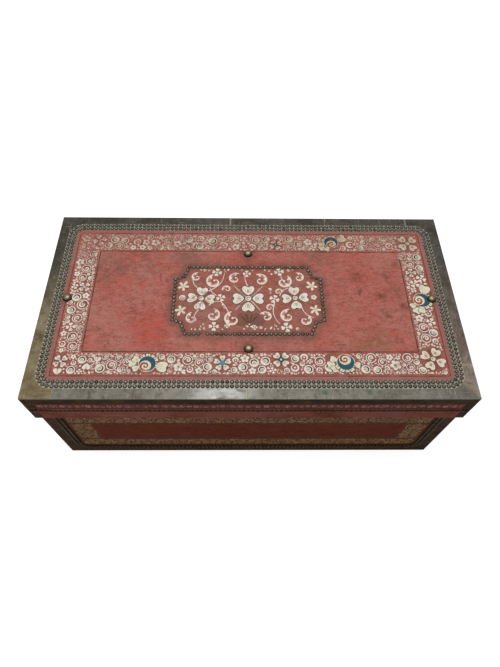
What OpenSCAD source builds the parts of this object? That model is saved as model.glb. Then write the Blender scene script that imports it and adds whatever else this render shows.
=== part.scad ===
// Leather-covered camphorwood trunk: a flat hinged lid over a rectangular case, edged with sheet brass
// and close-nailed, with bail handles on the ends. Millimetres, +Z up, front towards -Y.
// The origin is under the middle of the whole trunk, on the surface that it stands on.

/* [Overall] */
// Width of the lid across its brass edging
lid_w = 900; // [780:10:1100]
// Depth of the lid from front to back
lid_d = 476; // [400:2:600]
// Height of the lid
lid_h = 98; // [90:1:140]
// Height of the closed joint between case and lid
case_h = 238; // [190:1:320]
// How far the lid stands out past the front and the ends of the case
overhang = 7; // [5:0.5:9]

/* [Boards] */
// Thickness of the lid's boards
lid_board_t = 13; // [11:0.5:14]
// Thickness of the case's boards
case_board_t = 13; // [12:0.5:18]
// Height of the locating lip above the rim
lip_rise = 10; // [6:1:16]
// Depth to which the lip is let into the boards
lip_seat = 15; // [10:1:25]
// Gap between the lip and the lid's boards
lip_gap = 1; // [0.6:0.1:2]
// Gap between the closed lid and the rim
lid_gap = 0.3; // [0.2:0.1:0.6]

/* [Leather] */
// Thickness of the hide on case and lid
leather_t = 2; // [1.2:0.1:3]
// Height of the plain strip around the foot of the lid
hem_h = 46; // [42:1:52]

/* [Sheet brass] */
// Thickness of the sheet brass and of the plain leather strip that lies level with it
sheet_t = 1; // [0.6:0.1:1.5]
// Width of the lid's edging on top
top_flange = 41; // [38:1:60]
// Height of the lid's edging where it is turned down over the sides
top_leg = 26; // [18:1:30]
// Width of the angles on the lid's upright corners
lid_corner_leg = 18; // [12:1:30]
// Width of the angles on the case's upright corners
case_corner_leg = 41; // [38:1:60]
// Height of the edging around the foot of the case
base_leg = 41; // [38:1:60]
// Width of the foot edging where it is turned in under the case
base_flange = 20; // [10:1:30]
// Gap where two sheets of edging meet end to end
seam_gap = 0.3; // [0.2:0.1:0.8]
// Length of the short front sheet at the left corner
front_short_sheet = 61; // [55:1:120]
// Place of the front seam, measured from the middle
front_seam = -8; // [-60:1:60]
// Length of the short right-hand sheet at the front corner
right_short_sheet = 75; // [55:1:120]
// Length of the short back sheet at the right corner
back_short_sheet = 73; // [55:1:120]
// Place of the back seam, measured from the middle
back_seam = -47; // [-60:1:60]

/* [Close nailing] */
// Distance from one nail to the next along a row
nail_pitch = 9.5; // [9.5:0.1:14]
// Diameter of a nail head
nail_d = 9.2; // [6:0.1:9.2]
// Height of a nail head
nail_rise = 3; // [1.5:0.1:4]
// Distance of the outer row from the edge
row_inset = 27; // [24:0.5:28]
// Distance between the two rows of a pair
row_step = 9.5; // [9.5:0.1:10]
// Corner radius of the outer row
row_corner_r = 30; // [25:1:40]
// Distance of the lid's side row below the top
side_row_drop = 59; // [57:1:62]

/* [Cartouche] */
// Sideways place of the cartouche's middle
cartouche_x = -5; // [-20:1:20]
// Front-to-back place of the cartouche's middle
cartouche_y = -2; // [-20:1:20]
// Distance of its side columns from its middle
column_x = 162; // [155:1:200]
// Distance of its long rows from its middle
row_y = 88.5; // [80:0.5:110]
// Half the length of its long rows
row_half = 133; // [110:1:140]
// Half the length of its side columns
column_half = 54; // [40:1:58]
// Sideways place of the step in each corner
step_x = 144; // [142:1:150]
// Front-to-back place of the step in each corner
step_y = 61; // [60:1:70]
// Sideways place of the nail that is lost from the front row
lost_nail_x = -99; // [-120:1:-60]

/* [Bosses] */
// Diameter of the bosses on the lid
boss_d = 20; // [14:1:22]
// Height of the bosses
boss_rise = 8; // [4:0.5:12]
// Distance of the end bosses from the ends of the lid
boss_end_inset = 52; // [52:0.5:80]
// Distance of the front and back bosses from those edges
boss_side_inset = 112; // [100:1:120]

/* [Hinges] */
// Distance of each hinge from the middle
hinge_x = 270; // [180:5:290]
// Length of a hinge
hinge_l = 75; // [60:5:110]
// Height of a hinge leaf
leaf_h = 31; // [26:1:33]
// Thickness of a hinge leaf
leaf_t = 2; // [1.5:0.1:2.5]
// Diameter of the barrel
barrel_d = 10; // [9:0.5:12]
// Diameter of the hinge pin
pin_d = 5; // [4:0.1:6]
// Running clearance around every pin, on the radius
pin_clear = 0.08; // [0.05:0.01:0.1]
// Gap between neighbouring knuckles
knuckle_gap = 0.4; // [0.3:0.1:0.8]
// Gap between the barrel and the back of the trunk
barrel_gap = 0.4; // [0.3:0.1:0.8]
// Angle at which the hinges stop the open lid
lid_open = 100; // [92:1:110]
// Reach of the stops beyond the barrel
stop_reach = 4; // [3:0.5:6]
// Thickness of the stops
stop_t = 3; // [2:0.5:4]

/* [Handles] */
// Height of the handle pivots
handle_z = 168; // [150:1:170]
// Width of a handle plate from front to back
plate_w = 170; // [168:1:200]
// Height of a handle plate
plate_h = 36; // [30:1:50]
// Thickness of a handle plate
plate_t = 2; // [1.5:0.5:4]
// Distance of each eye from the middle of the plate
eye_y = 56; // [46:1:60]
// Outer diameter of an eye
eye_d = 15; // [14:0.5:18]
// Width of an eye along its bore
eye_w = 10; // [8:1:14]
// Distance of the pivot from the leather
pivot_out = 16; // [14:0.5:20]
// Diameter of the bail's rod
rod_d = 8; // [6:0.5:9]
// Gap between an eye and the bail's arm
arm_gap = 1; // [0.5:0.1:2]
// How far the bail hangs below its pivots
bail_drop = 58; // [50:1:64]
// Bend radius of the bail's lower corners
bail_bend = 20; // [12:1:28]

/* [Fixing nails] */
// Diameter of the heads that hold hinges and handle plates
fixing_d = 8; // [6:0.5:9]
// Height of those heads
fixing_rise = 2; // [1:0.5:3]
// Diameter of their shanks
shank_d = 3; // [2:0.1:3.5]
// Length of their shanks
shank_l = 13; // [10:0.5:14]
// Clearance around a shank, on the radius
shank_clear = 0.05; // [0.02:0.01:0.1]

/* [Hidden] */

// Smoothness of round parts, and the amount by which a cut passes the face that it opens.
round_fn = 48;
nail_fn = 24;
cut = 1;

// Steps in the rounded inner corners of the sheet brass.
arc_steps = 9;

// Share of a head's diameter that is left at its crown.
crown_share = 0.5;

wood_colour = "burlywood";
leather_colour = "firebrick";
hem_colour = "indianred";
brass_colour = "darkgoldenrod";
nail_colour = "goldenrod";

// Front and back planes of the lid. Nail heads stand out in front and the hinges behind.
barrel_r = barrel_d / 2;
back_reach = barrel_gap + barrel_d;
front_y = -(lid_d + nail_rise + back_reach) / 2 + nail_rise;
back_y = front_y + lid_d;
mid_y = (front_y + back_y) / 2;
half_w = lid_w / 2;
top_z = case_h + lid_h;
lid_z = case_h + lid_gap / 2;
rim_z = case_h - lid_gap / 2;

// Planes of the case. Its back is level with the lid's back.
skin_t = sheet_t + leather_t;
case_half_w = half_w - overhang;
case_front_y = front_y + overhang;
case_mid_y = (case_front_y + back_y) / 2;
case_wood_x = case_half_w - skin_t;
case_wood_front = case_front_y + skin_t;
case_wood_back = back_y - skin_t;
case_room_x = case_wood_x - case_board_t;
case_room_front = case_wood_front + case_board_t;
case_room_back = case_wood_back - case_board_t;

// Planes of the lid.
lid_wood_x = half_w - skin_t;
lid_wood_front = front_y + skin_t;
lid_wood_back = back_y - skin_t;
lid_wood_top = top_z - skin_t;
lid_room_x = lid_wood_x - lid_board_t;
lid_room_front = lid_wood_front + lid_board_t;
lid_room_back = lid_wood_back - lid_board_t;
lid_room_top = lid_wood_top - lid_board_t;

// Outer faces of the locating lip.
lip_x = lid_room_x - lip_gap;
lip_front_y = lid_room_front + lip_gap;
lip_back_y = lid_room_back - lip_gap;

// The inner corners of the brass run round the inner nail row, just clear of its heads.
inner_round = row_corner_r - row_step - nail_d / 2;

// Hinge pivot line and stops.
pin_y = back_y + barrel_gap + barrel_r;
pin_z = case_h;
knuckles = 5;
knuckle_l = hinge_l / knuckles;
stop_inner_r = barrel_r + knuckle_gap;
stop_outer_r = barrel_r + stop_reach;
case_stop_angle = -70;
stop_pair_angle = 2 * asin(stop_t / 2 / stop_inner_r) + 0.5;
lid_stop_angle = case_stop_angle + stop_pair_angle + lid_open;
hinge_nail_x = hinge_l / 3;
hinge_nail_z = barrel_r + (leaf_h - barrel_r) / 2;

// Handle pivots.
pivot_x = case_half_w - sheet_t + pivot_out;
rod_r = rod_d / 2;
elbow_r = rod_r + 1;
arm_y = eye_y + eye_w / 2 + arm_gap + elbow_r;
plate_nail_y = plate_w / 2 - fixing_d;
plate_nail_z = plate_h / 2 - fixing_d * 0.75;

// A point on a rounded rectangle, at distance s along it from the middle of its front side.
function ring_length(w, d, r) = 2 * (w + d) - 8 * r + 2 * PI * r;
function corner_turn(s, r) = 180 * s / (PI * r);
function ring_point(s, w, d, r) =
    let (a = w / 2 - r, b = d - 2 * r, c = w - 2 * r, q = PI * r / 2)
    s < a ? [s, -d / 2] :
    s < a + q ? let (t = corner_turn(s - a, r)) [a + r * sin(t), -d / 2 + r - r * cos(t)] :
    s < a + q + b ? [w / 2, -d / 2 + r + (s - a - q)] :
    s < a + 2 * q + b ? let (t = corner_turn(s - a - q - b, r)) [a + r * cos(t), d / 2 - r + r * sin(t)] :
    s < a + 2 * q + b + c ? [a - (s - a - 2 * q - b), d / 2] :
    let (p = ring_point(ring_length(w, d, r) - s, w, d, r)) [-p[0], p[1]];

// A point on a U of rounded corners, at distance s along it from its upper left end.
function u_length(w, h, r) = 2 * (h - r) + PI * r + w - 2 * r;
function u_point(s, w, h, r) =
    let (a = h - r, q = PI * r / 2, c = w - 2 * r)
    s < a ? [-w / 2, h - s] :
    s < a + q ? let (t = corner_turn(s - a, r)) [-w / 2 + r - r * cos(t), r - r * sin(t)] :
    s < a + q + c ? [-w / 2 + r + (s - a - q), 0] :
    let (p = u_point(u_length(w, h, r) - s, w, h, r)) [-p[0], p[1]];

// The round head of a nail, standing on its flat underside and tapering to its crown.
module nail_head(d, rise) {
    cylinder(h = rise, d1 = d, d2 = d * crown_share, $fn = nail_fn);
}

// A fixing nail that points down, with the underside of its head at zero.
module fixing_nail() {
    nail_head(fixing_d, fixing_rise);
    translate([0, 0, -shank_l])
        cylinder(h = shank_l + fixing_rise / 2, d = shank_d, $fn = nail_fn);
}

module shank_hole(length) {
    translate([0, 0, -length])
        cylinder(h = length + cut, r = shank_d / 2 + shank_clear, $fn = nail_fn);
}

// Nails on the way from point a to point b, which has one. The first of them is at a, or one step on.
module nail_line(a, b, first) {
    count = max(1, floor(norm(b - a) / nail_pitch));
    for (i = [first:count]) {
        p = a + (b - a) * i / count;
        if (abs(p[0] - lost_nail_x) > nail_pitch / 2 || p[1] > 0)
            translate([p[0], p[1], 0])
                nail_head(nail_d, nail_rise);
    }
}

// Two nail rows side by side on a rectangle w by d.
module paired_ring(w, d) {
    for (row = [0, 1]) {
        ring_w = w - 2 * (row_inset + row * row_step);
        ring_d = d - 2 * (row_inset + row * row_step);
        ring_r = row_corner_r - row * row_step;
        length = ring_length(ring_w, ring_d, ring_r);
        count = floor(length / nail_pitch);
        for (i = [0:count - 1]) {
            p = ring_point(i * length / count, ring_w, ring_d, ring_r);
            translate([p[0], p[1], 0])
                nail_head(nail_d, nail_rise);
        }
    }
}

// Two nail rows down one upright edge of a face, along its foot and up the other edge.
// The face is w wide, and its foot and left edge are at y = 0 and x = -w / 2.
module paired_u(w) {
    for (row = [0, 1]) {
        inset = row_inset + row * row_step;
        u_w = w - 2 * inset;
        u_h = rim_z - nail_d / 2 - cut - inset;
        u_r = row_corner_r - row * row_step;
        length = u_length(u_w, u_h, u_r);
        count = floor(length / nail_pitch);
        for (i = [0:count]) {
            p = u_point(i * length / count, u_w, u_h, u_r);
            translate([p[0], inset + p[1], 0])
                nail_head(nail_d, nail_rise);
        }
    }
}

// Lays a flat drawing on an upright face: its x runs along the face and its y runs up.
module on_front(y) {
    translate([0, y, 0])
        rotate([90, 0, 0])
            children();
}

module on_back(y) {
    translate([0, y, 0])
        rotate([90, 0, 180])
            children();
}

module on_end(side, x, y) {
    translate([side * x, y, 0])
        rotate([90, 0, side * 90])
            children();
}

module block(x0, x1, y0, y1, z0, z1) {
    translate([x0, y0, z0])
        cube([x1 - x0, y1 - y0, z1 - z0]);
}

// The rounded inner corner of mitred flanges, from the mitre to where the flange runs straight.
function inner_corner(flange, round_r) =
    round_r == 0 ? [[flange, flange]] :
    [for (turn = [0:45 / arc_steps:45])
        [flange + round_r * (1 - sin(45 - turn)), flange + round_r * (1 - cos(45 - turn))]];

// One straight sheet of angle edging. Its outer corner runs along x from x0 to x1, its flange lies
// under z = 0 towards +y, and its leg hangs from the outer corner. A mitre is 1, a square end 0.
module edging(x0, x1, flange, leg, mitre0, mitre1, round_r) {
    corner = inner_corner(flange, round_r);
    last = len(corner) - 1;
    translate([0, 0, -sheet_t])
        linear_extrude(sheet_t)
            polygon(concat(
                [[x0, 0], [x1, 0]],
                mitre1 == 1 ? [for (p = corner) [x1 - p[0], p[1]]] : [[x1, flange]],
                mitre0 == 1 ? [for (i = [last:-1:0]) [x0 + corner[i][0], corner[i][1]]] : [[x0, flange]]
            ));
    translate([0, 0, -leg])
        linear_extrude(leg - sheet_t / 2)
            polygon([
                [x0, 0], [x1, 0], [x1 - mitre1 * sheet_t, sheet_t], [x0 + mitre0 * sheet_t, sheet_t]
            ]);
}

// The rounded foot of an upright sheet, where it runs into the foot edging.
module foot_web(leg, round_r) {
    translate([0, sheet_t, 0])
        rotate([90, 0, 0])
            linear_extrude(sheet_t)
                polygon(concat(
                    [[leg - sheet_t, 0]],
                    [for (turn = [0:90 / arc_steps:90])
                        [leg + round_r * (1 - sin(turn)), round_r * (1 - cos(turn))]],
                    [[leg - sheet_t, round_r]]
                ));
}

// An upright angle of sheet brass with its outer corner at [x, y], turned in towards the trunk.
module corner_angle(x, y, leg, z0, z1, round_r) {
    translate([x, y, z0])
        mirror([x > 0 ? 1 : 0, 0, 0])
            mirror([0, y > mid_y ? 1 : 0, 0]) {
                linear_extrude(z1 - z0)
                    polygon([[0, 0], [leg, 0], [leg, sheet_t], [sheet_t, sheet_t], [sheet_t, leg], [0, leg]]);
                if (round_r > 0) {
                    foot_web(leg, round_r);
                    mirror([1, -1, 0])
                        foot_web(leg, round_r);
                }
            }
}

// Places of the nails that hold the leaves of both hinges: up is 1 for the lid and -1 for the case.
module at_hinge_nails(up) {
    for (side = [-1, 1], step = [-1:1])
        translate([side * hinge_x + step * hinge_nail_x, back_y + leaf_t, pin_z + up * hinge_nail_z])
            rotate([-90, 0, 0])
                children();
}

module at_handle_nails(side) {
    for (across = [-1, 1], up = [-1, 1])
        translate([
            side * (case_half_w - sheet_t + plate_t),
            case_mid_y + across * plate_nail_y,
            handle_z + up * plate_nail_z
        ])
            rotate([0, side * 90, 0])
                children();
}

// Shank holes pass the leaf or plate and end a little deeper than the shank.
hole_l = shank_l + 0.5;

module hinge_holes(up) {
    at_hinge_nails(up)
        shank_hole(hole_l);
}

module handle_holes(side) {
    at_handle_nails(side)
        shank_hole(hole_l);
}

// ---- Case boards ----

module bottom_board() {
    color(wood_colour) {
        block(-case_wood_x, case_wood_x, case_wood_front, case_wood_back, sheet_t, case_board_t);
        block(
            -case_half_w + base_flange, case_half_w - base_flange,
            case_front_y + base_flange, back_y - base_flange,
            0, sheet_t + cut
        );
    }
}

module front_board() {
    color(wood_colour)
        difference() {
            block(-case_wood_x, case_wood_x, case_wood_front, case_room_front, case_board_t, rim_z);
            block(-lip_x, lip_x, lip_front_y, case_room_front + cut, rim_z - lip_seat, rim_z + cut);
        }
}

module back_board() {
    color(wood_colour)
        difference() {
            block(-case_wood_x, case_wood_x, case_room_back, case_wood_back, case_board_t, rim_z);
            hinge_holes(-1);
        }
}

module end_board(side) {
    color(wood_colour)
        difference() {
            translate([side * (case_room_x + case_board_t / 2), 0, 0])
                block(-case_board_t / 2, case_board_t / 2, case_room_front, case_room_back, case_board_t, rim_z);
            translate([side * (case_room_x + (lip_x - case_room_x) / 2), 0, 0])
                block(
                    -(lip_x - case_room_x) / 2 - (side > 0 ? cut : 0), (lip_x - case_room_x) / 2 + (side < 0 ? cut : 0),
                    case_room_front - cut, case_room_back + cut, rim_z - lip_seat, rim_z + cut
                );
            handle_holes(side);
        }
}

module left_board() {
    end_board(-1);
}

module right_board() {
    end_board(1);
}

module lip_front() {
    color(wood_colour)
        block(-lip_x, lip_x, lip_front_y, case_room_front, rim_z - lip_seat, rim_z + lip_rise);
}

module end_lip(side) {
    lip_t = lip_x - case_room_x;
    color(wood_colour)
        translate([side * (case_room_x + lip_t / 2), 0, 0])
            difference() {
                block(
                    -lip_t / 2, lip_t / 2, case_room_front, case_room_back,
                    rim_z - lip_seat, rim_z + lip_rise
                );
                block(-lip_t, lip_t, lip_back_y, case_room_back + cut, rim_z, rim_z + lip_rise + cut);
            }
}

module lip_left() {
    end_lip(-1);
}

module lip_right() {
    end_lip(1);
}

// ---- Case coverings ----

module case_leather() {
    color(leather_colour)
        difference() {
            block(
                -case_half_w + sheet_t, case_half_w - sheet_t, case_front_y + sheet_t, back_y - sheet_t,
                sheet_t, rim_z
            );
            block(-case_wood_x, case_wood_x, case_wood_front, case_wood_back, 0, rim_z + cut);
            hinge_holes(-1);
            handle_holes(-1);
            handle_holes(1);
        }
}

module case_corner(side, y) {
    color(brass_colour)
        corner_angle(side * case_half_w, y, case_corner_leg, base_leg, rim_z, inner_round);
}

module case_corner_front_left() {
    case_corner(-1, case_front_y);
}

module case_corner_front_right() {
    case_corner(1, case_front_y);
}

module case_corner_back_left() {
    case_corner(-1, back_y);
}

module case_corner_back_right() {
    case_corner(1, back_y);
}

// Foot edging is the lid's edging turned over, with its flange let in under the bottom board.
module base_edging(length) {
    color(brass_colour)
        mirror([0, 0, 1])
            edging(-length / 2, length / 2, base_flange, base_leg, 1, 1, 0);
}

module base_edging_front() {
    translate([0, case_front_y, 0])
        base_edging(2 * case_half_w);
}

module base_edging_back() {
    translate([0, back_y, 0])
        rotate([0, 0, 180])
            base_edging(2 * case_half_w);
}

module base_edging_left() {
    translate([-case_half_w, case_mid_y, 0])
        rotate([0, 0, -90])
            base_edging(back_y - case_front_y);
}

module base_edging_right() {
    translate([case_half_w, case_mid_y, 0])
        rotate([0, 0, 90])
            base_edging(back_y - case_front_y);
}

module case_nails_front() {
    color(nail_colour)
        on_front(case_front_y)
            paired_u(2 * case_half_w);
}

module case_nails_back() {
    color(nail_colour)
        on_back(back_y)
            paired_u(2 * case_half_w);
}

module case_nails_ends() {
    color(nail_colour)
        for (side = [-1, 1])
            on_end(side, case_half_w, case_mid_y)
                paired_u(back_y - case_front_y);
}

// ---- Hinges ----

// The knuckles of one leaf, as full cylinders: the case has the odd ones and the lid the even ones.
module knuckle_set(first, r, spare) {
    for (i = [first:2:knuckles - 1])
        translate([-hinge_l / 2 + i * knuckle_l + knuckle_gap / 2 - spare, 0, 0])
            rotate([0, 90, 0])
                cylinder(h = knuckle_l - knuckle_gap + 2 * spare, r = r, $fn = round_fn);
}

// A bar that stands out from the barrel at an angle from +Y, over the length from x0 to x1.
module stop_bar(angle, x0, x1) {
    rotate([angle, 0, 0])
        block(x0, x1, barrel_r - stop_t / 2, stop_outer_r, -stop_t / 2, stop_t / 2);
}

module pin_bore() {
    rotate([0, 90, 0])
        cylinder(h = hinge_l + 2 * cut, r = pin_d / 2 + pin_clear, center = true, $fn = round_fn);
}

// The case leaf beds down on the leather. Its stop bar passes the lid's knuckles at a clearance.
module case_leaf(side) {
    color(brass_colour)
        difference() {
            translate([side * hinge_x, pin_y, pin_z])
                difference() {
                    union() {
                        difference() {
                            union() {
                                block(
                                    -hinge_l / 2, hinge_l / 2,
                                    back_y - sheet_t - pin_y, back_y + leaf_t - pin_y,
                                    -leaf_h, -knuckle_gap
                                );
                                stop_bar(case_stop_angle, -hinge_l / 2 + cut, hinge_l / 2 - cut);
                            }
                            knuckle_set(1, stop_inner_r, knuckle_gap / 2);
                        }
                        knuckle_set(0, barrel_r, 0);
                    }
                    pin_bore();
                }
            hinge_holes(-1);
        }
}

module lid_leaf(side) {
    color(brass_colour)
        difference() {
            translate([side * hinge_x, pin_y, pin_z])
                difference() {
                    union() {
                        difference() {
                            block(
                                -hinge_l / 2, hinge_l / 2, back_y - pin_y, back_y + leaf_t - pin_y,
                                knuckle_gap, leaf_h
                            );
                            knuckle_set(0, stop_inner_r, knuckle_gap / 2);
                        }
                        knuckle_set(1, barrel_r, 0);
                        for (i = [1:2:knuckles - 1])
                            stop_bar(
                                lid_stop_angle,
                                -hinge_l / 2 + i * knuckle_l + cut,
                                -hinge_l / 2 + (i + 1) * knuckle_l - cut
                            );
                    }
                    pin_bore();
                }
            hinge_holes(1);
        }
}

module hinge_pin(side) {
    tip_l = 2;
    color(brass_colour)
        translate([side * hinge_x, pin_y, pin_z])
            rotate([0, 90, 0]) {
                cylinder(h = hinge_l + 2 * tip_l, d = pin_d, center = true, $fn = round_fn);
                for (end = [-1, 1])
                    translate([0, 0, end * (hinge_l / 2 + tip_l / 2 + knuckle_gap / 2)])
                        cylinder(h = tip_l, r = barrel_r - cut, center = true, $fn = round_fn);
            }
}

module hinge_leaf_case_left() {
    case_leaf(-1);
}

module hinge_leaf_case_right() {
    case_leaf(1);
}

module hinge_leaf_lid_left() {
    lid_leaf(-1);
}

module hinge_leaf_lid_right() {
    lid_leaf(1);
}

module hinge_pin_left() {
    hinge_pin(-1);
}

module hinge_pin_right() {
    hinge_pin(1);
}

module hinge_nails_case() {
    color(nail_colour)
        at_hinge_nails(-1)
            fixing_nail();
}

module hinge_nails_lid() {
    color(nail_colour)
        at_hinge_nails(1)
            fixing_nail();
}

// ---- Handles ----

module handle_plate(side) {
    color(brass_colour)
        difference() {
            translate([side * (case_half_w - sheet_t), case_mid_y, handle_z])
                rotate([0, side * 90, 0]) {
                    block(-plate_h / 2, plate_h / 2, -plate_w / 2, plate_w / 2, 0, plate_t);
                    for (across = [-1, 1])
                        translate([0, across * eye_y, 0]) {
                            cylinder(h = pivot_out - rod_r, d = eye_w, $fn = round_fn);
                            translate([0, 0, pivot_out])
                                rotate([90, 0, 0])
                                    cylinder(h = eye_w, d = eye_d, center = true, $fn = round_fn);
                        }
                }
            translate([side * pivot_x, case_mid_y, handle_z])
                rotate([90, 0, 0])
                    cylinder(h = plate_w, r = rod_r + pin_clear, center = true, $fn = round_fn);
            handle_holes(side);
        }
}

// A quarter bend of the bail's rod, of radius r, from straight down at [r, 0] to sideways at [0, -r].
module rod_bend(r) {
    rotate([0, 0, -90])
        rotate_extrude(angle = 90, $fn = round_fn)
            translate([r, 0])
                circle(r = rod_r, $fn = round_fn);
}

// One half of the bail in the plane of its rod, with x along the pivots and the middle at x = 0.
module half_bail() {
    end_x = eye_y - eye_w / 2 - arm_gap;
    shoulder_x = arm_y - elbow_r;
    translate([end_x, 0, 0])
        rotate([0, 90, 0])
            cylinder(h = shoulder_x - end_x, r = rod_r, $fn = round_fn);
    translate([shoulder_x, -elbow_r, 0])
        rotate([0, 0, 90])
            rod_bend(elbow_r);
    translate([arm_y, -elbow_r, 0])
        rotate([90, 0, 0])
            cylinder(h = bail_drop - bail_bend - elbow_r, r = rod_r, $fn = round_fn);
    translate([arm_y - bail_bend, bail_bend - bail_drop, 0])
        rod_bend(bail_bend);
}

// The bail hangs from its pivots.
module bail(side) {
    color(brass_colour)
        translate([side * pivot_x, case_mid_y, handle_z])
            rotate([90, 0, 90]) {
                half_bail();
                mirror([1, 0, 0])
                    half_bail();
                translate([0, -bail_drop, 0])
                    rotate([0, 90, 0])
                        cylinder(h = 2 * (arm_y - bail_bend), r = rod_r, center = true, $fn = round_fn);
            }
}

module handle_plate_left() {
    handle_plate(-1);
}

module handle_plate_right() {
    handle_plate(1);
}

module handle_nails() {
    color(nail_colour)
        for (side = [-1, 1])
            at_handle_nails(side)
                fixing_nail();
}

module bail_left() {
    bail(-1);
}

module bail_right() {
    bail(1);
}

// ---- Lid boards ----

module lid_top_board() {
    color(wood_colour)
        difference() {
            block(-lid_wood_x, lid_wood_x, lid_wood_front, lid_wood_back, lid_room_top, lid_wood_top);
            at_bosses()
                shank_hole(hole_l - shank_l / 4);
        }
}

module lid_front_board() {
    color(wood_colour)
        block(-lid_wood_x, lid_wood_x, lid_wood_front, lid_room_front, lid_z, lid_room_top);
}

module lid_back_board() {
    color(wood_colour)
        difference() {
            block(-lid_wood_x, lid_wood_x, lid_room_back, lid_wood_back, lid_z, lid_room_top);
            hinge_holes(1);
        }
}

module lid_end_board(side) {
    color(wood_colour)
        translate([side * (lid_room_x + lid_board_t / 2), 0, 0])
            block(-lid_board_t / 2, lid_board_t / 2, lid_room_front, lid_room_back, lid_z, lid_room_top);
}

module lid_left_board() {
    lid_end_board(-1);
}

module lid_right_board() {
    lid_end_board(1);
}

// ---- Lid coverings ----

module lid_leather() {
    color(leather_colour)
        difference() {
            block(
                -half_w + sheet_t, half_w - sheet_t, front_y + sheet_t, back_y - sheet_t,
                lid_z, top_z - sheet_t
            );
            block(-lid_wood_x, lid_wood_x, lid_wood_front, lid_wood_back, lid_z - cut, lid_wood_top);
            at_bosses()
                shank_hole(hole_l);
            hinge_holes(1);
        }
}

module lid_hem_front() {
    hem_x = half_w - lid_corner_leg;
    color(hem_colour)
        block(-hem_x, hem_x, front_y, front_y + sheet_t, lid_z, lid_z + hem_h);
}

module lid_hem_back() {
    hem_x = half_w - lid_corner_leg;
    color(hem_colour)
        difference() {
            block(-hem_x, hem_x, back_y - sheet_t, back_y, lid_z, lid_z + hem_h);
            hinge_holes(1);
        }
}

module lid_hem_end(side) {
    color(hem_colour)
        translate([side * (half_w - sheet_t / 2), 0, 0])
            block(
                -sheet_t / 2, sheet_t / 2, front_y + lid_corner_leg, back_y - lid_corner_leg,
                lid_z, lid_z + hem_h
            );
}

module lid_hem_left() {
    lid_hem_end(-1);
}

module lid_hem_right() {
    lid_hem_end(1);
}

// Sheets of the lid's top edging, named by the side that they lie on.
module top_edging(x0, x1, mitre0, mitre1) {
    color(brass_colour)
        edging(x0, x1, top_flange, top_leg, mitre0, mitre1, inner_round);
}

module on_top_front() {
    translate([0, front_y, top_z])
        children();
}

module on_top_back() {
    translate([0, back_y, top_z])
        rotate([0, 0, 180])
            children();
}

module on_top_right() {
    translate([half_w, mid_y, top_z])
        rotate([0, 0, 90])
            children();
}

module on_top_left() {
    translate([-half_w, mid_y, top_z])
        rotate([0, 0, -90])
            children();
}

module top_edging_front_short() {
    on_top_front()
        top_edging(-half_w, -half_w + front_short_sheet, 1, 0);
}

module top_edging_front_left() {
    on_top_front()
        top_edging(-half_w + front_short_sheet + seam_gap, front_seam, 0, 0);
}

module top_edging_front_right() {
    on_top_front()
        top_edging(front_seam + seam_gap, half_w, 0, 1);
}

module top_edging_right_short() {
    on_top_right()
        top_edging(-lid_d / 2, -lid_d / 2 + right_short_sheet, 1, 0);
}

module top_edging_right() {
    on_top_right()
        top_edging(-lid_d / 2 + right_short_sheet + seam_gap, lid_d / 2, 0, 1);
}

module top_edging_back_short() {
    on_top_back()
        top_edging(-half_w, -half_w + back_short_sheet, 1, 0);
}

module top_edging_back_right() {
    on_top_back()
        top_edging(-half_w + back_short_sheet + seam_gap, -back_seam, 0, 0);
}

module top_edging_back_left() {
    on_top_back()
        top_edging(-back_seam + seam_gap, half_w, 0, 1);
}

module top_edging_left() {
    on_top_left()
        top_edging(-lid_d / 2, lid_d / 2, 1, 1);
}

module lid_corner(side, y) {
    color(brass_colour)
        corner_angle(side * half_w, y, lid_corner_leg, lid_z, top_z - top_leg, 0);
}

module lid_corner_front_left() {
    lid_corner(-1, front_y);
}

module lid_corner_front_right() {
    lid_corner(1, front_y);
}

module lid_corner_back_left() {
    lid_corner(-1, back_y);
}

module lid_corner_back_right() {
    lid_corner(1, back_y);
}

module lid_top_nails() {
    color(nail_colour)
        translate([0, mid_y, top_z])
            paired_ring(lid_w, lid_d);
}

// Four straight rows joined by stepped corners.
module cartouche_nails() {
    color(nail_colour)
        translate([cartouche_x, mid_y + cartouche_y, top_z - sheet_t]) {
            for (across = [-1, 1]) {
                nail_line([-row_half, across * row_y], [row_half, across * row_y], 0);
                nail_line([across * column_x, -column_half], [across * column_x, column_half], 0);
            }
            for (across = [-1, 1], along = [-1, 1]) {
                row_end = [across * row_half, along * row_y];
                step = [across * step_x, along * step_y];
                column_end = [across * column_x, along * column_half];
                nail_line(row_end, step, 1);
                nail_line(column_end, step + (column_end - step) / 2, 1);
            }
        }
}

// One row around the sides of the lid, along the upper edge of the plain strip.
module lid_side_nails() {
    row_z = top_z - side_row_drop;
    margin = nail_d / 2 + cut;
    color(nail_colour) {
        on_front(front_y)
            side_row(half_w - margin, row_z);
        on_back(back_y)
            side_row(half_w - margin, row_z);
        for (side = [-1, 1])
            on_end(side, half_w, mid_y)
                side_row(lid_d / 2 - margin, row_z);
    }
}

module side_row(half_length, z) {
    count = floor(2 * half_length / nail_pitch);
    for (i = [0:count])
        translate([-half_length + i * 2 * half_length / count, z, 0])
            nail_head(nail_d, nail_rise);
}

module at_bosses() {
    for (place = [
        [-half_w + boss_end_inset, 0], [half_w - boss_end_inset, 0],
        [cartouche_x, -lid_d / 2 + boss_side_inset], [cartouche_x, lid_d / 2 - boss_side_inset]
    ])
        translate([place[0], mid_y + place[1], top_z - sheet_t])
            children();
}

module lid_bosses() {
    boss_shank = shank_l * 3 / 4;
    color(nail_colour)
        at_bosses() {
            nail_head(boss_d, boss_rise);
            translate([0, 0, -boss_shank])
                cylinder(h = boss_shank + boss_rise / 2, d = shank_d, $fn = nail_fn);
        }
}

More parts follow.
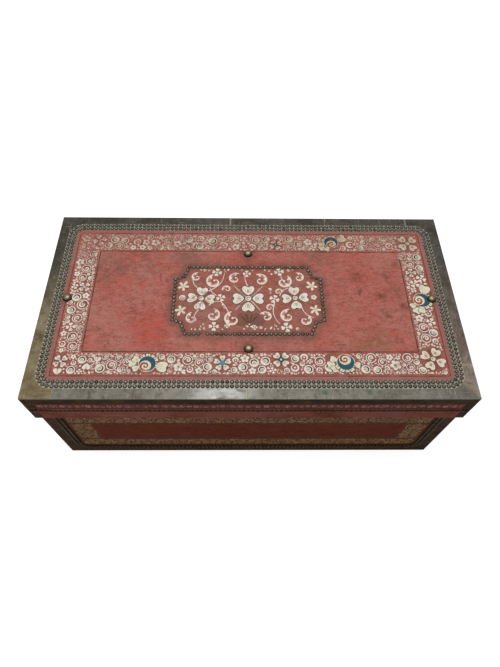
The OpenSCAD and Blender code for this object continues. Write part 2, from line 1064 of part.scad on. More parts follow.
bottom_board();
front_board();
back_board();
left_board();
right_board();
lip_front();
lip_left();
lip_right();
case_leather();
case_corner_front_left();
case_corner_front_right();
case_corner_back_left();
case_corner_back_right();
base_edging_front();
base_edging_back();
base_edging_left();
base_edging_right();
case_nails_front();
case_nails_back();
case_nails_ends();
hinge_leaf_case_left();
hinge_leaf_case_right();
hinge_pin_left();
hinge_pin_right();
hinge_nails_case();
handle_plate_left();
handle_plate_right();
handle_nails();
bail_left();
bail_right();
lid_top_board();
lid_front_board();
lid_back_board();
lid_left_board();
lid_right_board();
lid_leather();
lid_hem_front();
lid_hem_back();
lid_hem_left();
lid_hem_right();
top_edging_front_short();
top_edging_front_left();
top_edging_front_right();
top_edging_right_short();
top_edging_right();
top_edging_back_short();
top_edging_back_left();
top_edging_back_right();
top_edging_left();
lid_corner_front_left();
lid_corner_front_right();
lid_corner_back_left();
lid_corner_back_right();
lid_top_nails();
cartouche_nails();
lid_side_nails();
lid_bosses();
hinge_leaf_lid_left();
hinge_leaf_lid_right();
hinge_nails_lid();
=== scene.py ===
"""Looks of a brass-bound trunk in painted hide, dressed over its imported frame.

The frame gives the size and the place of every piece. This script adds the hide
with its unevenness, the painted ornament, the close nailing, the brass, the
camphorwood and the studio. Lengths on the painted faces are written in
millimetres from the middle of the face, and turned into metres once, in Face.
"""

import logging
import math
import random
from collections.abc import Iterable, Sequence
from dataclasses import dataclass, field
from enum import Enum
from typing import NamedTuple

import bpy
import numpy as np
from mathutils import Matrix, Vector


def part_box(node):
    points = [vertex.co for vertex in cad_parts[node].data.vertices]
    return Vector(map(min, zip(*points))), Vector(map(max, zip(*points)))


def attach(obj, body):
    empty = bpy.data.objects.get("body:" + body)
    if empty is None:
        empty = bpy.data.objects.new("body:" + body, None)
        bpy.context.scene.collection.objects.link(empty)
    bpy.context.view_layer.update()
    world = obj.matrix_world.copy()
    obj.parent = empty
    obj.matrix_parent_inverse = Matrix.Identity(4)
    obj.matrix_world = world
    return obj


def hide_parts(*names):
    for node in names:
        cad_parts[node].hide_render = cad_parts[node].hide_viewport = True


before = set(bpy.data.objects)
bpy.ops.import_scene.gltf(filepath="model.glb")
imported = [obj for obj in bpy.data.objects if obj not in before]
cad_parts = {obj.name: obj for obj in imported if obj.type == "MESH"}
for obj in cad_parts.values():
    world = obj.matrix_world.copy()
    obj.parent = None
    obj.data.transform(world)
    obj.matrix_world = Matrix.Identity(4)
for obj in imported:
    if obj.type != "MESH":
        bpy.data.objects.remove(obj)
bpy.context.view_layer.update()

log = logging.getLogger("trunk")

MM = 0.001
LID = "lid"
CASE = "case"
SIDES = ("front", "back", "left", "right")
WELD_REACH = 2e-6
SHARP = math.radians(35)
Point = tuple[float, float]
Point3 = tuple[float, float, float]
Colour = tuple[float, float, float]
Box = tuple[float, float, float, float]
Socket = bpy.types.NodeSocket
WHITE: Colour = (1.0, 1.0, 1.0)


def srgb(red: float, green: float, blue: float) -> Colour:
    """Turn a colour as a screen shows it, 0 to 255, into the linear one that a shader takes."""
    shares = (part / 255 for part in (red, green, blue))
    return tuple(s / 12.92 if s <= 0.04045 else ((s + 0.055) / 1.055) ** 2.4 for s in shares)


class Net:
    """A node tree, with one call that adds a node and feeds its inputs."""

    def __init__(self, tree: bpy.types.NodeTree) -> None:
        """Take the tree."""
        self.tree = tree

    def add(self, kind: str, inputs: dict[str | int, object] | None = None,
            **settings: object) -> bpy.types.Node:
        """Add a node.

        Args:
            kind: The node's type.
            inputs: What goes into its inputs, by name or place.
            settings: Its properties.

        Returns:
            The new node.
        """
        node = self.tree.nodes.new(kind)
        for key, value in settings.items():
            setattr(node, key, value)
        for key, value in (inputs or {}).items():
            self.put(node.inputs[key], value)
        return node

    def put(self, socket: Socket, value: object) -> None:
        """Link a socket to another one, or set it.

        Args:
            socket: The input.
            value: A socket to link from, or the value. A colour may lack its alpha.
        """
        if isinstance(value, Socket):
            self.tree.links.new(value, socket)
        elif socket.type == "RGBA" and len(value) == 3:
            socket.default_value = (*value, 1)
        else:
            socket.default_value = value


class Graph(Net):
    """A material's nodes, with a short call for each step that the finishes share."""

    def __init__(self, name: str) -> None:
        """Start a material.

        Args:
            name: The material's name.
        """
        self.material = bpy.data.materials.new(name)
        self.material.use_nodes = True
        super().__init__(self.material.node_tree)
        self.surface = self.tree.nodes["Principled BSDF"]
        self.place = self.add("ShaderNodeTexCoord").outputs["Object"]

    def stretched(self, *along: float) -> Socket:
        """Scale the object's own coordinates on x, y and z, so that a pattern runs with the grain."""
        return self.add("ShaderNodeMapping", {"Vector": self.place, "Scale": along}).outputs[0]

    def noise(self, scale: float, detail: float = 4, rough: float = 0.6, place: Socket | None = None,
              bend: float = 0) -> Socket:
        """Add a noise of so many waves a metre, read at the object's own place unless given another."""
        inputs = {"Vector": place or self.place, "Scale": scale, "Detail": detail, "Roughness": rough}
        return self.add("ShaderNodeTexNoise", inputs | {"Distortion": bend}).outputs["Fac"]

    def cells(self, scale: float) -> Socket:
        """Add the distance to the edge in a pattern of so many cells a metre, as in the pores of hide."""
        inputs = {"Vector": self.place, "Scale": scale}
        return self.add("ShaderNodeTexVoronoi", inputs, feature="DISTANCE_TO_EDGE").outputs["Distance"]

    def fade(self, value: Socket, low: float, high: float, start: float = 0, end: float = 1) -> Socket:
        """Spread the range from low to high of a value over start to end, and hold it there."""
        inputs = {"Value": value, "From Min": low, "From Max": high, "To Min": start, "To Max": end}
        return self.add("ShaderNodeMapRange", inputs).outputs[0]

    def sum(self, operation: str, first: object, second: object = 0.0) -> Socket:
        """Reckon with two values, by an operation as the math node names it."""
        return self.add("ShaderNodeMath", {0: first, 1: second}, operation=operation).outputs[0]

    def mix(self, share: object, first: object, second: object, blend: str = "MIX") -> Socket:
        """Mix two colours, with the given share of the second."""
        inputs = {0: share, 6: first, 7: second}
        return self.add("ShaderNodeMix", inputs, data_type="RGBA", blend_type=blend).outputs[2]

    def layer(self, colour: object, *coats: tuple[Socket, float, float, float, object]) -> object:
        """Lay coats of colour over one another.

        Args:
            colour: The colour under them.
            coats: For each, a value, where it starts to show, where it shows most, how much
                it covers there, and its colour.

        Returns:
            The colour with its coats.
        """
        for value, low, high, most, tone in coats:
            colour = self.mix(self.fade(value, low, high, 0, most), colour, tone)
        return colour

    def near(self, place: Sequence[float], reach: float) -> Socket:
        """Measure how near a place is to a point: 1 at the point and 0 at the reach, in metres."""
        node = self.add("ShaderNodeVectorMath", {0: self.place, 1: place}, operation="DISTANCE")
        return self.fade(node.outputs["Value"], reach, reach * 0.2)

    def axis(self, name: str) -> Socket:
        """Read the X, Y or Z of the place."""
        return self.add("ShaderNodeSeparateXYZ", {0: self.place}).outputs[name]

    def edge(self, lid: "LidPlan") -> Socket:
        """Measure how far a place is inside the line round the lid that the nail rows follow.

        Args:
            lid: The lid's plan.

        Returns:
            The distance, with rounded corners.
        """
        turn = lid.corner_r
        aside = self.sum("SUBTRACT", self.sum("ABSOLUTE", self.axis("X")), lid.half_w - turn)
        ahead = self.sum("ABSOLUTE", self.sum("SUBTRACT", self.axis("Y"), lid.middle))
        ahead = self.sum("SUBTRACT", ahead, lid.half_d - turn)
        corner = [self.sum("POWER", self.sum("MAXIMUM", part, 0.0), 2.0) for part in (aside, ahead)]
        outside = self.sum("SQRT", self.sum("ADD", *corner))
        inside = self.sum("MINIMUM", self.sum("MAXIMUM", aside, ahead), 0.0)
        return self.sum("SUBTRACT", turn, self.sum("ADD", outside, inside))

    def attribute(self, name: str) -> Socket:
        """Read a value that the mesh carries."""
        return self.add("ShaderNodeAttribute", attribute_name=name).outputs["Fac"]

    def bump(self, height: Socket, depth: float, strength: float, over: Socket | None = None) -> Socket:
        """Add a bump so many metres deep, over another one where that is given."""
        under = {} if over is None else {"Normal": over}
        return self.add("ShaderNodeBump",
                        {"Height": height, "Distance": depth, "Strength": strength} | under).outputs[0]

    def done(self, **sockets: object) -> bpy.types.Material:
        """Set the surface's own sockets.

        Args:
            sockets: Socket names, with _ for a space, and what goes into them.

        Returns:
            The finished material.
        """
        for key, value in sockets.items():
            self.put(self.surface.inputs[key.replace("_", " ")], value)
        return self.material


@dataclass(frozen=True)
class LidPlan:
    """The lid's outline from above, in metres."""

    half_w: float
    half_d: float
    middle: float
    top: float
    corner_r: float = 57 * MM


@dataclass(frozen=True)
class Camphorwood:
    """Bare planed camphorwood, with the grain along one axis."""

    name: str
    grain: Point3
    pale: Colour = srgb(176, 132, 88)
    dark: Colour = srgb(116, 74, 42)
    soiled: Colour = srgb(88, 62, 42)

    def material(self) -> bpy.types.Material:
        """Make the wood's material.

        Returns:
            The material.
        """
        g = Graph(self.name)
        along = g.stretched(*self.grain)
        rings = g.noise(9, 5, 0.62, along, 0.9)
        fibre = g.noise(160, 3, 0.7, along)
        board = g.layer(self.dark, (rings, 0.32, 0.68, 1, self.pale), (fibre, 0.35, 0.75, 0.45, self.dark),
                        (g.noise(5, 3), 0.5, 0.8, 0.35, self.soiled))
        return g.done(Base_Color=board, Roughness=g.fade(rings, 0.3, 0.7, 0.5, 0.68),
                      Normal=g.bump(fibre, 0.0004, 0.5))


@dataclass(frozen=True)
class Stain:
    """A stain or a rubbed place on the lid, in millimetres from its middle."""

    x: float
    y: float
    reach: float
    depth: float = 0.75
    tone: Point3 = (100, 62, 42)


@dataclass(frozen=True)
class PaintedHide:
    """Red painted hide: scuffed, crazed, stained, faded or grimed by an attribute, and darker on its sides
    below the top as painted shade.
    """

    name: str
    fresh: Colour
    worn: Colour
    deep: Colour
    # Painted shade: the colour that multiplies the hide below its top plane; white leaves it unchanged.
    sides: Colour
    plane: float
    middle: float = 0.0
    streak: Colour = srgb(214, 112, 98)
    scratch: Colour = srgb(110, 62, 50)
    faded: Colour = srgb(158, 116, 108)
    grime: Colour = srgb(98, 78, 66)
    stains: tuple[Stain, ...] = ()
    gloss: float = 0.2

    def material(self) -> bpy.types.Material:
        """Make the hide's material.

        Returns:
            The material.
        """
        g = Graph(self.name)
        cloud = g.noise(6, 6, 0.66, None, 0.3)
        scuff = g.noise(30, 7, 0.8, g.stretched(1, 2.6, 2.6), 0.4)
        weave = g.noise(130, 5, 0.85, g.stretched(0.9, 1.8, 1.8))
        bright = g.noise(38, 7, 0.85, g.stretched(0.6, 1.4, 1.4), 0.8)
        colour = g.mix(g.fade(cloud, 0.4, 0.62, 0.15, 0.8), self.fresh, self.worn)
        colour = g.layer(
            colour, (scuff, 0.5, 0.66, 0.7, self.deep), (weave, 0.5, 0.64, 0.85, self.worn),
            (weave, 0.49, 0.34, 0.85, self.deep), (g.noise(11, 6, 0.75), 0.58, 0.7, 0.8, self.fresh),
            (g.noise(75, 6, 0.9, None, 0.6), 0.52, 0.64, 0.65, self.deep),
            (g.noise(260, 4, 0.85), 0.56, 0.74, 0.55, self.worn), (bright, 0.55, 0.65, 0.85, self.streak),
            (g.noise(48, 3, 0.6, g.stretched(1, 0.5, 1)), 0.66, 0.72, 0.6, self.scratch))
        for stain in self.stains:
            spot = g.near((stain.x * MM, self.middle + stain.y * MM, self.plane), stain.reach * MM)
            broken = g.sum("MULTIPLY", spot, g.fade(g.noise(70, 5, 0.7), 0.4, 0.56))
            colour = g.mix(g.sum("MULTIPLY", broken, stain.depth), colour, srgb(*stain.tone))
        ragged = g.fade(g.noise(60, 6, 0.75), 0.32, 0.62, 0.3, 1.0)
        for mark, tone in (("faded", self.faded), ("grime", self.grime)):
            colour = g.mix(g.sum("MULTIPLY", g.attribute(mark), ragged), colour, tone)
        # Painted shade: below the top plane the colour is multiplied by the sides colour, so the lid's sides
        # are darker.
        below = g.fade(g.axis("Z"), self.plane - 0.0015, self.plane - 0.004)
        colour = g.mix(below, colour, g.mix(1.0, colour, self.sides, "MULTIPLY"))
        colour = g.layer(colour, (g.cells(95), 0.02, 0.0, 0.3, self.deep))
        return g.done(Base_Color=colour, Normal=g.bump(g.cells(520), 0.0002, 0.5, g.bump(scuff, 0.0008, 0.6)),
                      Roughness=g.fade(scuff, 0.3, 0.7, 0.5, 0.72), Specular_IOR_Level=self.gloss)


@dataclass(frozen=True)
class PlainHide:
    """The hem of thin hide: faded, dry and creased."""

    name: str = "faded_hide"
    tone: Colour = srgb(168, 90, 76)
    dark: Colour = srgb(118, 54, 40)
    dusty: Colour = srgb(162, 96, 96)
    pale: Colour = srgb(192, 134, 120)

    def material(self) -> bpy.types.Material:
        """Make the hem's material.

        Returns:
            The material.
        """
        g = Graph(self.name)
        creases = g.noise(34, 6, 0.75, g.stretched(0.35, 0.35, 2.6), 0.5)
        colour = g.layer(self.tone, (g.noise(9, 5, 0.65), 0.44, 0.66, 1, self.dark),
                         (g.noise(6, 5, 0.7), 0.5, 0.64, 0.7, self.dusty),
                         (creases, 0.55, 0.72, 0.7, self.pale),
                         (g.noise(300, 3), 0.5, 0.75, 0.4, self.dark))
        return g.done(Base_Color=colour, Roughness=0.7, Specular_IOR_Level=0.15,
                      Normal=g.bump(g.cells(480), 0.00015, 0.5, g.bump(creases, 0.0008, 0.7)))


class Tone(Enum):
    """How a sheet of old brass has turned, as its base and its blotches."""

    GREY = (srgb(112, 108, 96), srgb(150, 147, 136))
    GOLDEN = (srgb(120, 103, 72), srgb(168, 152, 116))
    BROWN = (srgb(124, 107, 95), srgb(170, 156, 141))
    DARK = (srgb(74, 71, 62), srgb(102, 99, 90))
    # The darkest tone, for the folded-down legs, the corners and the base edging: patina, darkened further as
    # painted shade of the vertical faces.
    BLACKENED = (srgb(54, 32, 10), srgb(90, 58, 23))


@dataclass(frozen=True)
class SheetBrass:
    """Thin sheet brass, dulled by age and scratched, darker where it is folded down, by its patina and by
    painted shade of the vertical faces.
    """

    tone: Tone
    lid: LidPlan
    nailed: bool = True
    rear: Tone | None = None
    rubbed_patch_highlight: Stain | None = None
    verdigris: tuple[Stain, ...] = ()
    seams: tuple[tuple[str, float], ...] = ()
    name: str = "sheet_brass"
    metal: float = 0.5

    def material(self) -> bpy.types.Material:
        """Make the brass's material.

        Returns:
            The material.
        """
        g = Graph(f"{self.name}_{self.tone.name.lower()}")
        cloud = g.noise(15, 6, 0.68, None, 0.6)
        spot = g.noise(75, 6, 0.78)
        scratch = g.noise(420, 2, 0.5, g.stretched(0.08, 1, 1), 0.2)
        cross = g.noise(420, 2, 0.5, g.stretched(1, 0.08, 0.4), 0.2)
        colour = g.mix(g.fade(cloud, 0.4, 0.62), *self.tone.value)
        if self.rear is not None:
            back = g.mix(g.fade(cloud, 0.4, 0.62), *self.rear.value)
            colour = g.mix(g.fade(g.axis("Y"), -0.16, 0.12), colour, back)
        colour = g.layer(
            colour, (spot, 0.52, 0.7, 0.8, srgb(62, 50, 38)),
            (g.noise(34, 6, 0.8, g.stretched(1, 0.5, 1)), 0.54, 0.66, 0.7, srgb(84, 70, 52)),
            (g.sum("MAXIMUM", scratch, cross), 0.64, 0.76, 0.6, srgb(190, 184, 164)),
            (g.noise(22, 4, 0.7), 0.66, 0.76, 0.5, srgb(96, 112, 98)))
        colour = self.seamed(g, self.spotted(g, colour))
        metal: object = self.metal
        if self.nailed:
            colour, metal = self.waxed(g, colour, spot)
        # Painted shade: below the lid top the brass takes the old colour and is less metallic and less
        # glossy. This stands for the shade on the vertical faces as well as the patina.
        below = g.fade(g.axis("Z"), self.lid.top - 0.0015, self.lid.top - 0.004)
        old = g.mix(g.fade(g.noise(28, 6, 0.75), 0.42, 0.6), *Tone.BLACKENED.value)
        old = g.layer(old, (g.noise(17, 5, 0.7), 0.57, 0.68, 0.45, srgb(84, 46, 26)),
                      (spot, 0.54, 0.66, 0.6, srgb(38, 30, 18)),
                      (g.sum("MAXIMUM", scratch, cross), 0.64, 0.76, 0.5, srgb(150, 130, 84)))
        dents = g.bump(g.noise(30, 3, 0.5), 0.0016, 0.55)
        return g.done(Base_Color=g.mix(below, colour, old),
                      Metallic=g.sum("MULTIPLY", metal, g.fade(below, 0, 1, 1, 0.4)),
                      Normal=g.bump(g.sum("ADD", spot, scratch), 0.00025, 0.5, dents),
                      Specular_IOR_Level=g.fade(below, 0, 1, 0.3, 0.08),
                      Roughness=g.fade(cloud, 0.3, 0.7, 0.42, 0.6))

    def spotted(self, g: Graph, colour: Socket) -> Socket:
        """Add the verdigris, and the rubbed patch made near-white as a painted highlight.

        Args:
            g: The material's nodes.
            colour: The colour so far.

        Returns:
            The new colour.
        """
        rough = g.noise(45, 6, 0.8, g.stretched(0.6, 1.6, 1))
        # The near-white rubbed patch is a worn place made near-white as a painted highlight.
        for stain in (*self.verdigris, *([self.rubbed_patch_highlight] if self.rubbed_patch_highlight else [])):
            near = g.near((stain.x * MM, stain.y * MM, self.lid.top), stain.reach * MM)
            low = 0.38 if stain is self.rubbed_patch_highlight else 0.22
            broken = g.sum("MULTIPLY", near, g.fade(rough, low, low + 0.16))
            colour = g.mix(g.sum("MULTIPLY", broken, stain.depth), colour, srgb(*stain.tone))
        return colour

    def seamed(self, g: Graph, colour: Socket) -> Socket:
        """Add the painted highlights along the lines where sheets meet.

        Args:
            g: The material's nodes.
            colour: The colour so far.

        Returns:
            The new colour.
        """
        for axis, place in self.seams:
            away = g.sum("ABSOLUTE", g.sum("SUBTRACT", g.axis(axis), place * MM))
            # Painted highlight: a pale line along each seam.
            colour = g.layer(colour, (away, 0.0022, 0.0008, 0.75, srgb(196, 190, 172)))
        return colour

    def waxed(self, g: Graph, colour: Socket, spot: Socket) -> tuple[Socket, Socket]:
        """Add the pale wax along the nail rows and the worn upper edge.

        Args:
            g: The material's nodes.
            colour: The colour so far.
            spot: The spots of the brass.

        Returns:
            The new colour, and how metallic it is.
        """
        edge, top = g.edge(self.lid), self.lid.top
        ragged = g.fade(g.noise(80, 5, 0.8), 0.36, 0.56, 0.2, 1)
        wax = g.sum("MULTIPLY", g.fade(edge, 0.0215, 0.0232), ragged)
        pale = g.mix(g.fade(edge, 0.0245, 0.026), srgb(206, 202, 188), srgb(172, 167, 152))
        colour = g.mix(wax, colour, pale)
        height = g.sum("ADD", g.axis("Z"), g.fade(spot, 0.3, 0.7, -0.0006, 0.0006))
        rubbed = g.fade(height, top - 0.0009, top - 0.0001)
        rubbed = g.sum("MULTIPLY", rubbed, g.fade(g.axis("Z"), top, top - 0.0002))
        colour = g.layer(colour, (rubbed, 0, 1, 0.7, srgb(186, 172, 136)))
        return colour, g.fade(wax, 0, 1, self.metal, 0.1)


@dataclass(frozen=True)
class NailBrass:
    """Brass nail heads: grime at the rim, a rubbed crown lightened further as a painted highlight, each its
    own tint.
    """

    name: str = "nail_brass"
    grime: Colour = srgb(52, 48, 41)
    metal_tone: Colour = srgb(122, 114, 98)
    rubbed: Colour = srgb(178, 172, 152)

    def material(self) -> bpy.types.Material:
        """Make the nail heads' material.

        Returns:
            The material.
        """
        g = Graph(self.name)
        crown, tint = g.attribute("crown"), g.attribute("tint")
        colour = g.mix(g.fade(crown, 0.15, 0.75), self.grime, self.metal_tone)
        # Rubbing and painted highlight: the top of the crown is lightened towards the rubbed colour, more on
        # some heads than on others.
        bright = g.sum("MULTIPLY", g.fade(crown, 0.8, 1.0), g.fade(tint, 0.3, 1.0, 0, 0.8))
        colour = g.mix(bright, colour, self.rubbed)
        colour = g.layer(colour, (tint, 0.25, 0.0, 0.7, self.grime),
                         (g.noise(500, 3), 0.5, 0.7, 0.45, self.grime))
        return g.done(Base_Color=colour, Metallic=0.65, Roughness=g.fade(crown, 0.2, 1.0, 0.55, 0.3),
                      Normal=g.bump(g.noise(700, 3), 0.0001, 0.4))


@dataclass(frozen=True)
class CastBrass:
    """Cast brass of the handles and hinges: dull, with rubbed patches and pits spread by noise."""

    name: str = "cast_brass"
    dull: Colour = srgb(92, 74, 44)
    rubbed: Colour = srgb(158, 132, 82)
    pitted: Colour = srgb(56, 44, 28)

    def material(self) -> bpy.types.Material:
        """Make the cast brass's material.

        Returns:
            The material.
        """
        g = Graph(self.name)
        cloud = g.noise(38, 5, 0.65)
        pits = g.noise(420, 4, 0.7)
        colour = g.layer(self.dull, (cloud, 0.38, 0.62, 1, self.rubbed), (pits, 0.56, 0.72, 0.6, self.pitted))
        return g.done(Base_Color=colour, Metallic=0.85, Roughness=g.fade(cloud, 0.3, 0.7, 0.5, 0.34),
                      Normal=g.bump(pits, 0.0002, 0.5))


class Pigment(Enum):
    """The painter's colours, and how much of each has worn off."""

    CREAM = (srgb(255, 246, 228), 0.28)
    IVORY = (srgb(250, 242, 214), 0.26)
    SAGE = (srgb(206, 206, 170), 0.45)
    TEAL = (srgb(38, 92, 108), 0.15)
    AZURE = (srgb(96, 150, 156), 0.2)
    ORANGE = (srgb(204, 72, 48), 0.2)
    OLIVE = (srgb(66, 54, 38), 0.25)
    ROSE = (srgb(214, 150, 136), 0.5)
    SHADE = (srgb(128, 90, 72), 0.75)
    UMBER = (srgb(96, 54, 44), 0.45)
    DULL = (srgb(184, 150, 100), 0.42)


@dataclass(frozen=True)
class PaintFilm:
    """A film of old paint, worn through to the hide and crazed."""

    pigment: Pigment
    ground: Colour
    name: str = "paint"
    rubbed_back: bool = False
    smoke: Colour = (0.55, 0.46, 0.4)

    def material(self) -> bpy.types.Material:
        """Make the film's material.

        Returns:
            The material.
        """
        tone, wear = self.pigment.value
        g = Graph(f"{self.name}_{self.pigment.name.lower()}")
        gone = g.sum("ADD", g.noise(130, 6, 0.72, None, 0.3),
                     g.fade(g.noise(12, 4, 0.6), 0.35, 0.7, -0.06, 0.09))
        dirty = g.layer(tone, (g.noise(400, 4, 0.7), 0.48, 0.75, 0.3, tuple(part * 0.62 for part in tone)))
        if self.rubbed_back:
            gone = g.sum("ADD", gone, g.fade(g.axis("Y"), 0.08, 0.17, 0, 0.065))
            corner = g.sum("MULTIPLY", g.fade(g.axis("Y"), 0.13, 0.17),
                           g.fade(g.axis("X"), -0.1, -0.25, 0, 0.05))
            gone = g.sum("ADD", gone, corner)
            dirty = g.layer(dirty, (g.axis("Y"), 0.05, 0.17, 0.7, g.mix(1.0, dirty, self.smoke, "MULTIPLY")))
        colour = g.layer(dirty, (gone, 0.62 - wear * 0.25, 0.78 - wear * 0.2, 0.85, self.ground))
        return g.done(Base_Color=colour, Roughness=0.6, Specular_IOR_Level=0.3,
                      Normal=g.bump(g.cells(420), 0.0001, 0.4))


def new_object(name: str, points: Sequence[Sequence[float]], faces: Iterable[Sequence[int]],
               body: str, smooth: bool = False) -> bpy.types.Object:
    """Make a mesh that rides on a body.

    Args:
        name: The piece's name.
        points: Its points, in metres.
        faces: Its faces, turned outwards.
        body: The body that it rides on.
        smooth: Whether its faces are shaded smooth.

    Returns:
        The new object.
    """
    mesh = bpy.data.meshes.new(name)
    mesh.from_pydata([tuple(p) for p in points], [], [tuple(f) for f in faces])
    mesh.validate()
    if smooth:
        mesh.shade_smooth()
    made = bpy.data.objects.new(name, mesh)
    bpy.context.scene.collection.objects.link(made)
    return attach(made, body)


def set_values(made: bpy.types.Object, name: str, values: Sequence[float]) -> None:
    """Store a value at every point of a mesh, as an attribute."""
    layer = made.data.attributes.new(name, "FLOAT", "POINT")
    layer.data.foreach_set("value", np.asarray(values, np.float32))


def soften(made: bpy.types.Object, width: float, weld: bool = False) -> None:
    """Round a piece's sharp edges.

    Args:
        made: The piece.
        width: The width of the rounding, in metres.
        weld: Whether its loose triangles are joined first.
    """
    if weld:
        made.modifiers.new("weld", "WELD").merge_threshold = WELD_REACH
    bevel = made.modifiers.new("bevel", "BEVEL")
    bevel.width, bevel.segments, bevel.limit_method = width, 2, "ANGLE"
    bevel.angle_limit = SHARP
    bevel.harden_normals = True


def dress(nodes: Iterable[str], finish: bpy.types.Material, width: float) -> None:
    """Give CAD nodes their finish and round their edges.

    Args:
        nodes: The nodes' names.
        finish: Their material.
        width: The width of the rounding, in metres.
    """
    for name in nodes:
        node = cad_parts[name]
        node.data.materials.clear()
        node.data.materials.append(finish)
        soften(node, width, weld=True)
        log.info("%s: dressed in %s", name, finish.name)


@dataclass(frozen=True)
class Face:
    """One flat side of the trunk as a sheet to paint on, with the hide's slight swell."""

    middle: Vector
    along: Vector
    up: Vector
    half_w: float
    half_h: float
    quiet: float = 44.0
    slope: float = 40.0
    swell: float = 0.45

    @property
    def out(self) -> Vector:
        """The direction that the side faces."""
        return self.along.cross(self.up)

    def rise(self, u: float, v: float) -> float:
        """Reckon how far the hide stands off its board.

        Args:
            u: The place along the side, in millimetres from its middle.
            v: The place up the side.

        Returns:
            The rise in millimetres, none near the brass.
        """
        edge = min(self.half_w - abs(u), self.half_h - abs(v))
        share = min(1.0, max(0.0, (edge - self.quiet) / self.slope))
        wave = math.sin(u * 0.023 + 1.3) * math.sin(v * 0.031 + 0.4) + 0.4 * math.sin(u * 0.051 + v * 0.043)
        return self.swell * share * (0.5 + 0.35 * wave)

    def point(self, u: float, v: float, height: float = 0.0) -> Vector:
        """Turn a place on the side, and a height above the hide, into a point in the trunk's frame."""
        return self.middle + (self.along * u + self.up * v + self.out * (self.rise(u, v) + height)) * MM


@dataclass(frozen=True)
class Block:
    """A box in the trunk's frame, and the sides that it can show."""

    low: Vector
    high: Vector

    @classmethod
    def of(cls, node: str) -> "Block":
        """Take the box round a CAD node."""
        low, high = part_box(node)
        return cls(Vector(low), Vector(high))

    def side(self, name: str, **settings: float) -> Face:
        """Take one side of the box.

        Args:
            name: front, back, left, right or top.
            settings: The side's own quiet width and swell.

        Returns:
            The side.
        """
        size = (self.high - self.low) / MM / 2
        x, y, z = Vector((1, 0, 0)), Vector((0, 1, 0)), Vector((0, 0, 1))
        axis, end, along, up = {"top": (2, self.high, x, y), "front": (1, self.low, x, z),
                                "back": (1, self.high, -x, z), "left": (0, self.low, -y, z),
                                "right": (0, self.high, y, z)}[name]
        middle = (self.low + self.high) / 2
        middle[axis] = end[axis]
        width, height = size.y if axis == 0 else size.x, size.y if axis == 2 else size.z
        return Face(middle, along, up, width, height, **settings)


def closed_skin(outer: Sequence[Sequence[float]], inner: Sequence[Sequence[float]],
                faces: Sequence[Sequence[int]]) -> tuple[list[Sequence[float]], list[tuple[int, ...]]]:
    """Close a skin between its outer and its inner points.

    Args:
        outer: The outer points.
        inner: The inner points, one for each outer one.
        faces: The outer faces, turned outwards.

    Returns:
        All the points and all the faces.
    """
    count = len(outer)
    edges = {pair for ring in faces for pair in zip(ring, (*ring[1:], ring[0]))}
    rims = [(b, a, count + a, count + b) for a, b in sorted(edges) if (b, a) not in edges]
    back = [tuple(count + i for i in reversed(ring)) for ring in faces]
    return [*outer, *inner], [*faces, *back, *rims]


def turned(profile: Sequence[Point3], radius: float, height: float, sides: int,
           foot: Sequence[float] = (0.0, 0.0, 0.0),
           ) -> tuple[list[Point3], list[tuple[int, ...]], list[float]]:
    """Turn a closed dome on its foot.

    Args:
        profile: The rings from the foot up, as shares of the radius and the height, each with
            how much of the crown it has.
        radius: The dome's radius in metres.
        height: Its height.
        sides: How many sides it has.
        foot: The middle of its foot.

    Returns:
        The points, the faces, and each point's share of the crown.
    """
    x, y, z = foot
    turns = [2 * math.pi * i / sides for i in range(sides)]
    points = [(x + share * radius * math.cos(t), y + share * radius * math.sin(t), z + rise * height)
              for share, rise, _ in profile for t in turns]
    points += [(x, y, z + height), (x, y, z)]
    crown = [value for *_, value in profile for _ in turns] + [1.0, 0.0]
    pairs = [(i, (i + 1) % sides) for i in range(sides)]
    last, top = (len(profile) - 1) * sides, len(profile) * sides
    faces = [(k + a, k + b, k + b + sides, k + a + sides) for k in range(0, last, sides) for a, b in pairs]
    faces += [(last + a, last + b, top) for a, b in pairs]
    faces += [(b, a, top + 1) for a, b in pairs]
    return points, faces, crown


